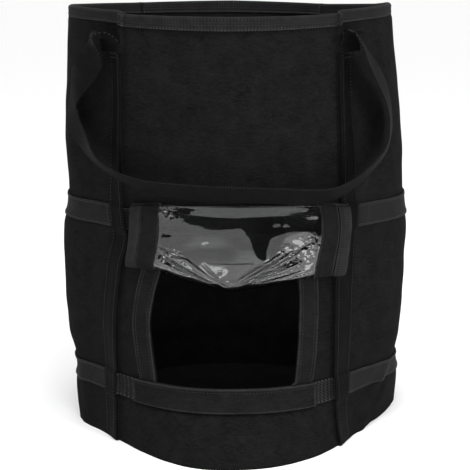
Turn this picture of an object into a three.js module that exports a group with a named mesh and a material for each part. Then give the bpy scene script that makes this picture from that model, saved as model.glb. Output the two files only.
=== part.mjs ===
// A felt grow bag for potatoes: a soft upright tub of black felt with a bound rim, two webbing bands,
// four upright webbing straps that carry two drooping handles, and a harvest window in the front panel
// whose clear flap is rolled up under the front handle.
// Millimetres, +Z up, the front faces -Y. The origin is the middle of the base, on the floor.
import * as THREE from 'three';

// Driving sizes
const BAG_RADIUS = 175;
const BAG_HEIGHT = 450;
const FELT = 2.5;
const GAP = 0.35;
const BASE_CLEAR = 1;

const WEBBING_WIDTH = 25;
const BAND_WIDTH = 22.5;
const WEBBING = 1.5;
const PANEL_WIDTH = 230;
const TUCK_HEIGHT = 3.5;
const TUCK_RISE = 3;
const STRAP_FOOT = 3;
const STRAP_TOP = 412;

const BINDING = 1.2;
const BINDING_DEPTH = 11.5;

const LOWER_BAND_FOOT = 47.5;
const UPPER_BAND_FOOT = 230;
const BAND_RAMP = 4;

const WINDOW_WIDTH = 145;
const WINDOW_CENTRE = -2;
const TAPE_WIDTH = 20;
const FOOT_TAPE_REACH = 7;

const FILM = 0.6;
const FILM_WIDTH = 156;
const HOOK_TAPE = 1.5;
const HOOK_TAPE_WIDTH = 20;
const FLAP_HEM_WIDTH = 12;
const FLAP_CENTRE = 7;
const FLAP_TOP = 262;
const FLAP_CROWN = 8;
const ROLL_DROP = 4;
const ROLL_HEIGHT = 62;
const ROLL_STACK = 10;
const ROLL_BULGE = 8;
const FILM_SAG = 18;

const HANDLE_RISE = 10;
const HANDLE_CLEAR = 1.5;

// The outline of the bag at a few heights. height is a share of BAG_HEIGHT, the rest are shares of
// BAG_RADIUS. panelLeft and panelRight are how far the creases beside the front panel lie from the
// middle, and shift moves the window along the felt. flank presses the front corners in between the
// panel and the sides, and tip moves the right side's widest place back.
const SECTIONS = [
  { height: 0.0, left: 0.975, right: 1.086, front: 1.058, back: 1.0,
    panelLeft: 0.68, panelRight: 0.64, shift: -0.034, flank: 1.08, tip: 0.39 },
  { height: 0.045, left: 0.985, right: 1.09, front: 0.985, back: 0.99,
    panelLeft: 0.68, panelRight: 0.62, shift: -0.04, flank: 1.0, tip: 0.36 },
  { height: 0.09, left: 0.99, right: 1.084, front: 0.885, back: 0.98,
    panelLeft: 0.68, panelRight: 0.612, shift: -0.042, flank: 0.88, tip: 0.26 },
  { height: 0.125, left: 0.974, right: 1.056, front: 0.822, back: 0.966,
    panelLeft: 0.678, panelRight: 0.61, shift: -0.043, flank: 0.8, tip: 0.12 },
  { height: 0.152, left: 0.984, right: 1.046, front: 0.805, back: 0.965,
    panelLeft: 0.678, panelRight: 0.608, shift: -0.043, flank: 0.76, tip: 0.06 },
  { height: 0.213, left: 1.026, right: 1.07, front: 0.803, back: 0.965,
    panelLeft: 0.677, panelRight: 0.606, shift: -0.04, flank: 0.64, tip: 0.02 },
  { height: 0.304, left: 1.05, right: 1.09, front: 0.808, back: 0.96,
    panelLeft: 0.672, panelRight: 0.605, shift: -0.037, flank: 0.5, tip: 0.0 },
  { height: 0.43, left: 1.05, right: 1.094, front: 0.807, back: 0.955,
    panelLeft: 0.63, panelRight: 0.606, shift: -0.023, flank: 0.4, tip: 0.0 },
  { height: 0.489, left: 1.04, right: 1.092, front: 0.8, back: 0.95,
    panelLeft: 0.59, panelRight: 0.618, shift: 0.008, flank: 0.36, tip: 0.0 },
  { height: 0.535, left: 1.008, right: 1.069, front: 0.795, back: 0.945,
    panelLeft: 0.604, panelRight: 0.63, shift: 0.017, flank: 0.34, tip: 0.0 },
  { height: 0.582, left: 1.006, right: 1.058, front: 0.8, back: 0.95,
    panelLeft: 0.616, panelRight: 0.636, shift: 0.009, flank: 0.32, tip: 0.0 },
  { height: 0.693, left: 1.022, right: 1.053, front: 0.817, back: 0.96,
    panelLeft: 0.62, panelRight: 0.63, shift: -0.003, flank: 0.28, tip: 0.0 },
  { height: 0.84, left: 0.994, right: 1.014, front: 0.84, back: 0.97,
    panelLeft: 0.614, panelRight: 0.612, shift: -0.012, flank: 0.22, tip: 0.0 },
  { height: 0.97, left: 0.986, right: 0.978, front: 0.857, back: 0.98,
    panelLeft: 0.605, panelRight: 0.598, shift: -0.017, flank: 0.18, tip: 0.0 },
  { height: 1.0, left: 0.972, right: 0.958, front: 0.863, back: 0.983,
    panelLeft: 0.602, panelRight: 0.595, shift: -0.017, flank: 0.16, tip: 0.0 },
];

// How far the rim stands above BAG_HEIGHT round the bag, in millimetres, by degrees from the front's
// middle. It drops where the front panel begins.
const RIM = [
  { degrees: -180, rise: -0.5 },
  { degrees: -140, rise: -2 },
  { degrees: -110, rise: -1 },
  { degrees: -88, rise: 0 },
  { degrees: -66, rise: -0.7 },
  { degrees: -44, rise: -2.6 },
  { degrees: -35, rise: -6.6 },
  { degrees: -19, rise: -7.6 },
  { degrees: 0, rise: -8 },
  { degrees: 19, rise: -7.6 },
  { degrees: 35, rise: -6.4 },
  { degrees: 44, rise: -2.1 },
  { degrees: 66, rise: 0.5 },
  { degrees: 88, rise: 2 },
  { degrees: 110, rise: -1 },
  { degrees: 140, rise: -3.5 },
  { degrees: 180, rise: -0.5 },
];

// How far the window's sides stray outwards, in millimetres. share is a share of the window's height.
const BOWS = [
  { share: 0.0, left: -0.5, right: 4.0 },
  { share: 0.24, left: 4.1, right: 6.5 },
  { share: 0.41, left: 5.5, right: 7.2 },
  { share: 0.59, left: 0.9, right: 6.2 },
  { share: 0.78, left: -6.5, right: 2.0 },
  { share: 1.0, left: -10.0, right: -2.0 },
];

// The rolled flap in profile, from its sewn top edge to its free end. out is a share of the roll's
// thickness, up a share of its height above the lower fold.
const ROLL = [
  { out: 0.0, up: 1.0 },
  { out: 0.0, up: 0.7 },
  { out: 0.0, up: 0.35 },
  { out: 0.06, up: 0.12 },
  { out: 0.25, up: 0.02 },
  { out: 0.5, up: -0.02 },
  { out: 0.78, up: 0.04 },
  { out: 0.95, up: 0.18 },
  { out: 1.0, up: 0.4 },
  { out: 1.0, up: 0.65 },
  { out: 0.92, up: 0.86 },
  { out: 0.74, up: 0.94 },
  { out: 0.54, up: 0.86 },
  { out: 0.48, up: 0.6 },
  { out: 0.48, up: 0.35 },
  { out: 0.5, up: 0.16 },
];

// The lower fold of the roll across the flap. across runs from -1 to 1 over the film, drop is a share
// of FILM_SAG below the fold's height at the left side, swell a share of ROLL_BULGE.
const FOLDS = [
  { across: -1.0, drop: 0.0, swell: 0.0 },
  { across: -0.6, drop: 0.42, swell: 0.55 },
  { across: -0.1, drop: 1.0, swell: 1.0 },
  { across: 0.0, drop: 0.98, swell: 1.0 },
  { across: 0.5, drop: 0.72, swell: 0.6 },
  { across: 1.0, drop: 0.5, swell: 0.0 },
];

// The route of a drooping handle. around is a share of the strap's angle from the middle of the panel,
// rise runs from 0 at the lowest stretch to 1 at the straps' tops, off is a share of WEBBING_WIDTH out
// from the wall. turn and flare point the webbing's width, in degrees: turn 0 lies along the wall,
// 90 stands up, and flare leans it away from the wall.
const HANDLE = [
  { around: -1.0, rise: 1.0, off: 0.0, turn: 0, flare: 0 },
  { around: -1.0, rise: 1.05, off: 0.03, turn: 0, flare: 0 },
  { around: -1.0, rise: 1.09, off: 0.14, turn: 0, flare: 4 },
  { around: -1.03, rise: 1.125, off: 0.36, turn: 0, flare: 14 },
  { around: -1.075, rise: 1.12, off: 0.56, turn: 0, flare: 34 },
  { around: -1.09, rise: 1.06, off: 0.56, turn: 4, flare: 30 },
  { around: -1.1, rise: 0.99, off: 0.5, turn: 8, flare: 6 },
  { around: -1.13, rise: 0.94, off: 0.44, turn: 14, flare: -12 },
  { around: -1.2, rise: 0.87, off: 0.38, turn: 18, flare: -16 },
  { around: -1.29, rise: 0.8, off: 0.34, turn: 16, flare: -8 },
  { around: -1.37, rise: 0.72, off: 0.3, turn: 10, flare: 4 },
  { around: -1.43, rise: 0.63, off: 0.26, turn: 5, flare: 14 },
  { around: -1.44, rise: 0.56, off: 0.26, turn: 6, flare: 12 },
  { around: -1.41, rise: 0.5, off: 0.28, turn: 12, flare: 9 },
  { around: -1.36, rise: 0.43, off: 0.3, turn: 26, flare: 8 },
  { around: -1.26, rise: 0.36, off: 0.34, turn: 36, flare: 16 },
  { around: -1.16, rise: 0.28, off: 0.38, turn: 44, flare: 30 },
  { around: -1.04, rise: 0.2, off: 0.44, turn: 52, flare: 46 },
  { around: -0.86, rise: 0.12, off: 0.54, turn: 62, flare: 56 },
  { around: -0.6, rise: 0.05, off: 0.64, turn: 78, flare: 60 },
  { around: -0.3, rise: 0.02, off: 0.7, turn: 88, flare: 62 },
  { around: 0.0, rise: 0.0, off: 0.7, turn: 90, flare: 62 },
  { around: 0.3, rise: -0.01, off: 0.68, turn: 90, flare: 62 },
  { around: 0.5, rise: -0.01, off: 0.66, turn: 92, flare: 60 },
  { around: 0.7, rise: 0.01, off: 0.62, turn: 104, flare: 58 },
  { around: 0.9, rise: 0.07, off: 0.56, turn: 122, flare: 52 },
  { around: 1.11, rise: 0.17, off: 0.5, turn: 136, flare: 44 },
  { around: 1.28, rise: 0.29, off: 0.44, turn: 150, flare: 36 },
  { around: 1.35, rise: 0.42, off: 0.4, turn: 166, flare: 30 },
  { around: 1.36, rise: 0.55, off: 0.38, turn: 180, flare: 28 },
  { around: 1.31, rise: 0.69, off: 0.4, turn: 186, flare: 25 },
  { around: 1.2, rise: 0.83, off: 0.46, turn: 190, flare: 26 },
  { around: 1.09, rise: 0.96, off: 0.52, turn: 188, flare: 36 },
  { around: 1.02, rise: 1.06, off: 0.56, turn: 184, flare: 44 },
  { around: 0.98, rise: 1.14, off: 0.46, turn: 180, flare: 42 },
  { around: 0.98, rise: 1.14, off: 0.24, turn: 180, flare: 18 },
  { around: 0.99, rise: 1.09, off: 0.08, turn: 180, flare: 4 },
  { around: 1.0, rise: 1.05, off: 0.03, turn: 180, flare: 0 },
  { around: 1.0, rise: 1.0, off: 0.0, turn: 180, flare: 0 },
];
const HANDLE_STEPS = 2;

const LOWER_BAND_TOP = LOWER_BAND_FOOT + BAND_WIDTH;
const UPPER_BAND_TOP = UPPER_BAND_FOOT + BAND_WIDTH;
const CREASE = PANEL_WIDTH / 2;
const STRAP_EDGE = CREASE + WEBBING_WIDTH;
const WINDOW_CLEAR = 5;
const WINDOW_REACH = WINDOW_WIDTH / 2 + TAPE_WIDTH + WINDOW_CLEAR;
const BINDING_FOOT = BAG_HEIGHT - BINDING_DEPTH;
const ROLL_TOP = FLAP_TOP - ROLL_DROP;
const FOLD_HEIGHT = ROLL_TOP - ROLL_HEIGHT;

const DEGREE = Math.PI / 180;
const UP = new THREE.Vector3(0, 0, 1);

const lerp = THREE.MathUtils.lerp;
const smooth = (x, from, to) => THREE.MathUtils.smoothstep(x, from, to);

// A row of a table between its rows, on a smooth curve through all of them.
function rowAt(table, key, value) {
  const last = table.length - 1;
  let i = 0;
  while (i < last - 1 && value > table[i + 1][key]) i += 1;
  const span = table[i + 1][key] - table[i][key];
  const t = THREE.MathUtils.clamp((value - table[i][key]) / span, 0, 1);
  return rowBetween(table, i, t);
}

function rowBetween(table, i, t) {
  const last = table.length - 1;
  const before = table[Math.max(i - 1, 0)];
  const from = table[i];
  const to = table[Math.min(i + 1, last)];
  const after = table[Math.min(i + 2, last)];
  const row = {};
  for (const name of Object.keys(from)) {
    const slopeIn = (to[name] - before[name]) / 2;
    const slopeOut = (after[name] - from[name]) / 2;
    const rise = to[name] - from[name];
    row[name] = from[name] + t * (slopeIn + t * (3 * rise - 2 * slopeIn - slopeOut
      + t * (slopeIn + slopeOut - 2 * rise)));
  }
  return row;
}

function outlinePoint(section, angle) {
  const across = Math.sin(angle);
  const ahead = Math.cos(angle);
  const halfWidth = across < 0 ? section.left : section.right;
  const depth = ahead > 0 ? section.front : section.back;
  const pressed = section.flank * Math.abs(across) ** 3 * Math.max(ahead, 0);
  return {
    x: BAG_RADIUS * halfWidth * across,
    y: BAG_RADIUS * (section.tip * Math.max(across, 0) ** 4 - depth * ahead * (1 - pressed)),
  };
}

// Distances along the outline at one height, both ways from the middle of the front and of the back,
// and how far along it the creases beside the panels lie.
const outlines = new Map();
const OUTLINE_STEPS = 240;

function outlineAt(height) {
  if (!outlines.has(height)) {
    const section = rowAt(SECTIONS, 'height', height / BAG_HEIGHT);
    const walk = (start, way, panel) => {
      const lengths = [0];
      let from = outlinePoint(section, start);
      let crease = 0;
      for (let i = 1; i <= OUTLINE_STEPS; i += 1) {
        const to = outlinePoint(section, start + way * Math.PI * i / OUTLINE_STEPS);
        lengths.push(lengths[i - 1] + Math.hypot(to.x - from.x, to.y - from.y));
        const reached = (BAG_RADIUS * panel - Math.abs(from.x)) / (Math.abs(to.x) - Math.abs(from.x));
        if (!crease && reached <= 1) crease = lerp(lengths[i - 1], lengths[i], reached);
        from = to;
      }
      return { lengths, crease };
    };
    outlines.set(height, {
      section,
      front: [walk(0, -1, section.panelLeft), walk(0, 1, section.panelRight)],
      back: [walk(Math.PI, 1, section.panelLeft), walk(Math.PI, -1, section.panelRight)],
    });
  }
  return outlines.get(height);
}

// The angle round the bag at a distance along the outline from the middle of the front or the back.
// Distances and angles grow towards +X.
function angleAt(side, distance, height) {
  const { lengths } = outlineAt(height)[side][distance < 0 ? 0 : 1];
  const wanted = Math.abs(distance);
  let i = 1;
  while (i < OUTLINE_STEPS && lengths[i] < wanted) i += 1;
  const turn = Math.PI * (i - (lengths[i] - wanted) / (lengths[i] - lengths[i - 1])) / OUTLINE_STEPS;
  return side === 'front' ? Math.sign(distance) * turn : Math.PI - Math.sign(distance) * turn;
}

// The same for a spot of the sewn felt, whose creases stray from their even place.
function angleAlong(side, distance, height) {
  const outline = outlineAt(height);
  const { crease } = outline[side][distance < 0 ? 0 : 1];
  const inside = distance + (side === 'front' ? BAG_RADIUS * outline.section.shift : 0);
  const outside = Math.sign(distance) * (crease + Math.abs(distance) - CREASE);
  const placed = lerp(inside, outside, smooth(Math.abs(distance), WINDOW_REACH, CREASE));
  return angleAt(side, placed, height);
}

// A point of the felt's outer face, before tucks.
function wallPoint(angle, height) {
  const { x, y } = outlinePoint(outlineAt(height).section, angle);
  const degrees = THREE.MathUtils.euclideanModulo(angle / DEGREE + 180, 360) - 180;
  const { rise } = rowAt(RIM, 'degrees', degrees);
  return new THREE.Vector3(x, y, height + rise * (height / BAG_HEIGHT) ** 2);
}

function wallFrame(angle, height) {
  const turn = 0.5 * DEGREE;
  const along = wallPoint(angle + turn, height).sub(wallPoint(angle - turn, height)).normalize();
  return { along, out: new THREE.Vector3().crossVectors(along, UP).normalize() };
}

// A point a distance off the wall, at a height that may pass the rim.
function offWall(angle, height, off) {
  const held = Math.min(height, BAG_HEIGHT);
  const point = wallPoint(angle, held).addScaledVector(wallFrame(angle, held).out, off);
  point.z += height - held;
  return point;
}

// Upright lines of the felt. Each has a place along the front or the back, and may ride up a tuck
// or stray with the window's left or right side.
function windowBow(height, way) {
  const share = (height - LOWER_BAND_TOP) / (UPPER_BAND_FOOT - LOWER_BAND_TOP);
  if (share <= 0 || share >= 1) return 0;
  return way * rowAt(BOWS, 'share', share)[way < 0 ? 'left' : 'right'];
}

function line(side, distance, tuck = 0, way = 0) {
  const angle = (height) => angleAlong(side, distance + (way && windowBow(height, way)), height);
  return { tuck, angle };
}

function tuckLines(side, way) {
  return [
    line(side, way * (CREASE - TUCK_RISE)),
    line(side, way * CREASE, 1),
    line(side, way * (CREASE + STRAP_EDGE) / 2, 0.8),
    line(side, way * STRAP_EDGE, 0.55),
    line(side, way * (STRAP_EDGE + WEBBING_WIDTH / 2), 0.25),
    line(side, way * (STRAP_EDGE + WEBBING_WIDTH)),
  ];
}

const windowEdge = (way) => WINDOW_CENTRE + way * WINDOW_WIDTH / 2;
const tapeLines = (way) => [0, 0.5, 1].map((share) => (
  line('front', windowEdge(way) + way * share * TAPE_WIDTH, 0, way)));
const footEnd = (way) => line('front', windowEdge(way) + way * (TAPE_WIDTH + FOOT_TAPE_REACH), 0, way);

function betweenLines(first, second, count) {
  return Array.from({ length: count }, (_, i) => {
    const share = (i + 1) / (count + 1);
    return {
      tuck: 0,
      angle: (height) => {
        const from = first.angle(height);
        const to = second.angle(height);
        return lerp(from, to < from ? to + 2 * Math.PI : to, share);
      },
    };
  });
}

const SIDE_LINES = 6;
const PANEL_LINES = 5;
const BACK_LINES = 7;
const frontLeft = tuckLines('front', -1).reverse();
const frontRight = tuckLines('front', 1);
const backRight = tuckLines('back', 1).reverse();
const backLeft = tuckLines('back', -1);
const leftTape = tapeLines(-1).reverse();
const rightTape = tapeLines(1);
const footLeft = footEnd(-1);
const footRight = footEnd(1);
const inWindow = betweenLines(leftTape[2], rightTape[0], PANEL_LINES);
const lines = [
  ...frontLeft,
  footLeft,
  ...leftTape,
  ...inWindow,
  ...rightTape,
  footRight,
  ...frontRight,
  ...betweenLines(frontRight.at(-1), backRight[0], SIDE_LINES),
  ...backRight,
  ...betweenLines(backRight.at(-1), backLeft[0], BACK_LINES),
  ...backLeft,
  ...betweenLines(backLeft.at(-1), frontLeft[0], SIDE_LINES),
];

// A spot on one of these lines, a distance outside the felt.
const onLine = (at, height, off) => offWall(at.angle(height), height, off + TUCK_HEIGHT * at.tuck);

function evenly(from, to, steps) {
  return Array.from({ length: steps + 1 }, (_, i) => lerp(from, to, i / steps));
}

const bandHeights = (foot) => evenly(foot, foot + BAND_WIDTH, 2);
const windowHeights = evenly(LOWER_BAND_TOP, UPPER_BAND_FOOT, 7);
const upperHeights = evenly(UPPER_BAND_TOP, STRAP_TOP, 5);
const heights = [
  ...evenly(0, LOWER_BAND_FOOT, 4).slice(0, -1),
  ...bandHeights(LOWER_BAND_FOOT).slice(0, -1),
  ...windowHeights.slice(0, -1),
  ...bandHeights(UPPER_BAND_FOOT).slice(0, -1),
  ...upperHeights,
  BINDING_FOOT,
  BAG_HEIGHT,
];

// A closed solid from a grid of spots that each have an outer and an inner point. Cells that are cut
// away leave an opening with its own rim.
function sheet(across, along, point, { ring = false, cut = () => false } = {}) {
  const positions = [];
  for (const side of [1, 0]) {
    for (let j = 0; j < along; j += 1) {
      for (let i = 0; i < across; i += 1) positions.push(...point(i, j, side).toArray());
    }
  }
  const at = (i, j, side) => (side ? 0 : across * along) + j * across + (i % across);
  const cellsAcross = ring ? across : across - 1;
  const solid = (i, j) => {
    const inside = j >= 0 && j < along - 1 && (ring || (i >= 0 && i < cellsAcross));
    return inside && !cut((i + across) % across, j);
  };
  const index = [];
  const quad = (a, b, c, d) => index.push(a, b, c, a, c, d);
  for (let j = 0; j < along - 1; j += 1) {
    for (let i = 0; i < cellsAcross; i += 1) {
      if (!solid(i, j)) continue;
      quad(at(i, j, 1), at(i + 1, j, 1), at(i + 1, j + 1, 1), at(i, j + 1, 1));
      quad(at(i, j, 0), at(i, j + 1, 0), at(i + 1, j + 1, 0), at(i + 1, j, 0));
      if (!solid(i, j - 1)) quad(at(i, j, 0), at(i + 1, j, 0), at(i + 1, j, 1), at(i, j, 1));
      if (!solid(i, j + 1)) quad(at(i + 1, j + 1, 0), at(i, j + 1, 0), at(i, j + 1, 1), at(i + 1, j + 1, 1));
      if (!solid(i - 1, j)) quad(at(i, j + 1, 0), at(i, j, 0), at(i, j, 1), at(i, j + 1, 1));
      if (!solid(i + 1, j)) quad(at(i + 1, j, 0), at(i + 1, j + 1, 0), at(i + 1, j + 1, 1), at(i + 1, j, 1));
    }
  }
  const geometry = new THREE.BufferGeometry();
  geometry.setAttribute('position', new THREE.Float32BufferAttribute(positions, 3));
  geometry.setIndex(index);
  geometry.computeVertexNormals();
  return geometry;
}

// A spot on a line at any height, on the felt's own facets.
function onFacets(at, height, off) {
  let k = 0;
  while (k < heights.length - 2 && heights[k + 1] < height) k += 1;
  const share = (height - heights[k]) / (heights[k + 1] - heights[k]);
  return onLine(at, heights[k], off).lerp(onLine(at, heights[k + 1], off), share);
}

// Something flat that is sewn on the felt over some of its lines and heights.
function sewnOn(over, levels, thickness, under = () => 0, options = {}) {
  const point = (i, j, side) => (
    onFacets(over[i], levels[j], GAP + under(levels[j]) + side * thickness));
  return sheet(over.length, levels.length, point, options);
}

function wallGeometry() {
  const first = lines.indexOf(leftTape[2]);
  const last = lines.indexOf(rightTape[0]);
  const low = heights.indexOf(windowHeights[0]);
  const high = heights.indexOf(windowHeights.at(-1));
  const cut = (i, j) => i >= first && i < last && j >= low && j < high;
  const point = (i, j, side) => onLine(lines[i], heights[j], side ? 0 : -FELT);
  return sheet(lines.length, heights.length, point, { ring: true, cut });
}

// A disc that lies inside the foot of the wall, clear of it over the disc's own thickness.
function baseGeometry() {
  const corners = lines.map((at) => {
    const foot = onLine(at, 0, -FELT - BASE_CLEAR);
    const above = onLine(at, heights[1], -FELT - BASE_CLEAR);
    const top = foot.clone().lerp(above, FELT / heights[1]);
    const { out } = wallFrame(at.angle(0), 0);
    return out.dot(top) < out.dot(foot) ? top : foot;
  });
  const outline = new THREE.Shape(corners.map(({ x, y }) => new THREE.Vector2(x, y)));
  return new THREE.ExtrudeGeometry(outline, { depth: FELT, bevelEnabled: false });
}

// The binding is folded over the rim: up outside the felt, across its top and down inside.
function bindingGeometry() {
  const outside = [GAP, GAP + BINDING];
  const inside = [-(FELT + GAP), -(FELT + GAP + BINDING)];
  const top = [BAG_HEIGHT + GAP, BAG_HEIGHT + GAP + BINDING];
  const foot = [BINDING_FOOT, BINDING_FOOT];
  const profile = [[outside, foot], [outside, top], [inside, top], [inside, foot]];
  const point = (i, j, side) => {
    const [off, height] = profile[j];
    return onLine(lines[i], height[side], off[side]);
  };
  return sheet(lines.length, profile.length, point, { ring: true });
}

// A strap climbs over the bands that cross under it.
const OVER_BAND = WEBBING + GAP;
const BANDS = [LOWER_BAND_FOOT, UPPER_BAND_FOOT];
const strapLift = (height) => {
  const over = BANDS.some((foot) => height > foot - 1e-6 && height < foot + BAND_WIDTH + 1e-6);
  return over ? OVER_BAND : 0;
};
const strapHeights = [
  STRAP_FOOT,
  ...heights.filter((height) => height > STRAP_FOOT && height <= STRAP_TOP),
  ...BANDS.flatMap((foot) => [foot - BAND_RAMP, foot + BAND_WIDTH + BAND_RAMP]),
].sort((a, b) => a - b);

// The flap. Its parts lie side by side and share one rolled profile.
const flapEdges = [0, HOOK_TAPE_WIDTH, HOOK_TAPE_WIDTH + FLAP_HEM_WIDTH];

function flapSpot(across, step, off) {
  const film = THREE.MathUtils.clamp((across - FLAP_CENTRE) / (FILM_WIDTH / 2), -1, 1);
  const fold = rowAt(FOLDS, 'across', film);
  const from = ROLL[step];
  const crown = FLAP_CROWN * (1 - (across / CREASE) ** 2);
  const low = FOLD_HEIGHT - FILM_SAG * fold.drop;
  const top = crown + (step === 0 ? FLAP_TOP : ROLL_TOP);
  const ahead = ROLL[Math.min(step + 1, ROLL.length - 1)];
  const behind = ROLL[Math.max(step - 1, 0)];
  const stack = ROLL_STACK + ROLL_BULGE * fold.swell;
  const run = (ahead.out - behind.out) * stack;
  const climb = (ahead.up - behind.up) * (top - low);
  const length = Math.hypot(run, climb);
  const height = lerp(low, top, from.up) + off * run / length;
  const outline = outlineAt(height);
  const placed = across + BAG_RADIUS * outline.section.shift;
  const pastCrease = Math.abs(placed) - outline.front[placed < 0 ? 0 : 1].crease;
  const under = (TUCK_HEIGHT + OVER_BAND) * smooth(pastCrease, -WEBBING_WIDTH / 2, -TUCK_RISE);
  const clear = 2 * GAP + WEBBING + HOOK_TAPE / 2 + under;
  return offWall(angleAt('front', placed, height), height, clear + from.out * stack - off * climb / length);
}

function flapGeometry(from, to, steps, thickness) {
  const across = evenly(from, to, steps);
  const last = ROLL.length - 1;
  const point = (i, j, side) => flapSpot(across[i], last - j, side ? thickness / 2 : -thickness / 2);
  return sheet(across.length, ROLL.length, point);
}

// A handle: one length of webbing between the tops of two straps.
function handleGeometry(side) {
  const middle = (CREASE + STRAP_EDGE) / 2;
  const centre = side === 'front' ? 0 : Math.PI;
  const way = side === 'front' ? 1 : -1;
  const reach = [-1, 1].map((end) => {
    const angle = angleAlong(side, way * end * middle, STRAP_TOP);
    return Math.abs(angle - centre);
  });
  const rest = FLAP_TOP + HANDLE_RISE;
  const clear = TUCK_HEIGHT + GAP + WEBBING / 2;
  const stations = [];
  for (let i = 0; i < HANDLE.length - 1; i += 1) {
    for (let k = 0; k < HANDLE_STEPS; k += 1) stations.push(rowBetween(HANDLE, i, k / HANDLE_STEPS));
  }
  stations.push(HANDLE.at(-1));
  const spots = stations.map((row) => {
    const angle = centre + row.around * reach[row.around < 0 ? 0 : 1];
    const height = lerp(rest, STRAP_TOP + HANDLE_CLEAR, row.rise);
    const { along, out } = wallFrame(angle, Math.min(height, BAG_HEIGHT));
    const width = along.clone().multiplyScalar(Math.cos(row.turn * DEGREE) * Math.cos(row.flare * DEGREE))
      .addScaledVector(UP, Math.sin(row.turn * DEGREE) * Math.cos(row.flare * DEGREE))
      .addScaledVector(out, Math.sin(row.flare * DEGREE));
    return { at: offWall(angle, height, clear + row.off * WEBBING_WIDTH), width };
  });
  const point = (i, j, face) => {
    const { at, width } = spots[j];
    const before = spots[Math.max(j - 1, 0)].at;
    const after = spots[Math.min(j + 1, spots.length - 1)].at;
    const run = after.clone().sub(before).normalize();
    const sideways = width.clone().addScaledVector(run, -width.dot(run)).normalize();
    const normal = new THREE.Vector3().crossVectors(sideways, run);
    return at.clone().addScaledVector(sideways, (i - 0.5) * WEBBING_WIDTH)
      .addScaledVector(normal, (face - 0.5) * WEBBING);
  };
  return sheet(2, spots.length, point);
}

const felt = new THREE.MeshStandardMaterial({ color: 0x202020, roughness: 0.95, metalness: 0 });
const webbing = new THREE.MeshStandardMaterial({ color: 0x2a2a2a, roughness: 0.7, metalness: 0 });
const tape = new THREE.MeshStandardMaterial({ color: 0x262626, roughness: 0.9, metalness: 0 });
const clear = new THREE.MeshStandardMaterial({
  color: 0xd8dadb, roughness: 0.08, metalness: 0, transparent: true, opacity: 0.35,
});

const bag = new THREE.Group();
function add(name, geometry, material) {
  const mesh = new THREE.Mesh(geometry, material);
  mesh.name = name;
  bag.add(mesh);
}

add('felt_wall', wallGeometry(), felt);
add('felt_base', baseGeometry(), felt);
add('rim_binding', bindingGeometry(), webbing);
add('lower_band', sewnOn(lines, bandHeights(LOWER_BAND_FOOT), WEBBING, () => 0, { ring: true }), webbing);
add('upper_band', sewnOn(lines, bandHeights(UPPER_BAND_FOOT), WEBBING, () => 0, { ring: true }), webbing);

const straps = [
  ['strap_front_left', frontLeft.slice(2, 5)],
  ['strap_front_right', frontRight.slice(1, 4)],
  ['strap_back_left', backLeft.slice(1, 4)],
  ['strap_back_right', backRight.slice(2, 5)],
];
for (const [name, over] of straps) add(name, sewnOn(over, strapHeights, WEBBING, strapLift), webbing);

const tapeHeights = windowHeights.map((height, i) => {
  if (i === 0) return height + GAP;
  return i === windowHeights.length - 1 ? height - GAP : height;
});
add('window_tape_left', sewnOn(leftTape, tapeHeights, HOOK_TAPE), tape);
add('window_tape_right', sewnOn(rightTape, tapeHeights, HOOK_TAPE), tape);
add('window_tape_foot', sewnOn(
  [footLeft, ...leftTape, ...inWindow, ...rightTape, footRight],
  bandHeights(LOWER_BAND_FOOT),
  HOOK_TAPE,
  () => OVER_BAND,
), tape);

const filmHalf = FILM_WIDTH / 2;
const FILM_STEPS = 14;
add('flap_film', flapGeometry(FLAP_CENTRE - filmHalf, FLAP_CENTRE + filmHalf, FILM_STEPS, FILM), clear);
for (const [side, way] of [['left', -1], ['right', 1]]) {
  const edge = (i) => FLAP_CENTRE + way * (filmHalf + flapEdges[i] + GAP * (i + 1));
  const order = (a, b) => (way < 0 ? [b, a] : [a, b]);
  add(`flap_hook_${side}`, flapGeometry(...order(edge(0), edge(1) - way * GAP), 2, HOOK_TAPE), tape);
  add(`flap_hem_${side}`, flapGeometry(...order(edge(1), edge(2) - way * GAP), 2, HOOK_TAPE), webbing);
}

add('handle_front', handleGeometry('front'), webbing);
add('handle_back', handleGeometry('back'), webbing);

export default bag;
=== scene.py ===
"""The looks of a black felt grow bag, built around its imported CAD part.

Metres, +Z up, the front faces -Y and the origin is the middle of the base, on the floor.
"""

import math

import bmesh
import bpy
import numpy as np
from mathutils import Matrix, Vector, noise


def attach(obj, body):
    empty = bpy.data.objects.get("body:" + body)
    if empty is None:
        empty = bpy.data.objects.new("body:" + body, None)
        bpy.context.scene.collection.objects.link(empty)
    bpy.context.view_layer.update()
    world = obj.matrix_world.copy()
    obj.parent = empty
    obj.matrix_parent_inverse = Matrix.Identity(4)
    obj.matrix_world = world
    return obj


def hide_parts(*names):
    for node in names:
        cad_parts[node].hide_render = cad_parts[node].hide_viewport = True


bl_info = {
    "name": "Felt Grow Bag",
    "version": (1, 0, 0),
    "blender": (4, 5, 0),
    "location": "View3D > Sidebar > Grow Bag",
    "description": "Builds the felt, webbing, clear flap and studio of a felt grow bag",
    "category": "Add Mesh",
}

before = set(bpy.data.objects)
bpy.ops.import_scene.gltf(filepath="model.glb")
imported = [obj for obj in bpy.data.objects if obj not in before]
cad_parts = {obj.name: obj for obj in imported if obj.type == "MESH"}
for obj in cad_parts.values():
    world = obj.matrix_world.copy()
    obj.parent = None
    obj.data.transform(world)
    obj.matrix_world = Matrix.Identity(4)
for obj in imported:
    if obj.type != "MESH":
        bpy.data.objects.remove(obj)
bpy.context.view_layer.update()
MM = 0.001

# The camera: the photo's width and focal length in pixels, its place, and how far it looks down.
PHOTO_WIDTH = 470
PHOTO_FOCAL = 1345
SENSOR_WIDTH = 36
CAMERA_PLACE = (0.004, -1.45, 0.493)
CAMERA_DIP = 11.37

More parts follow.
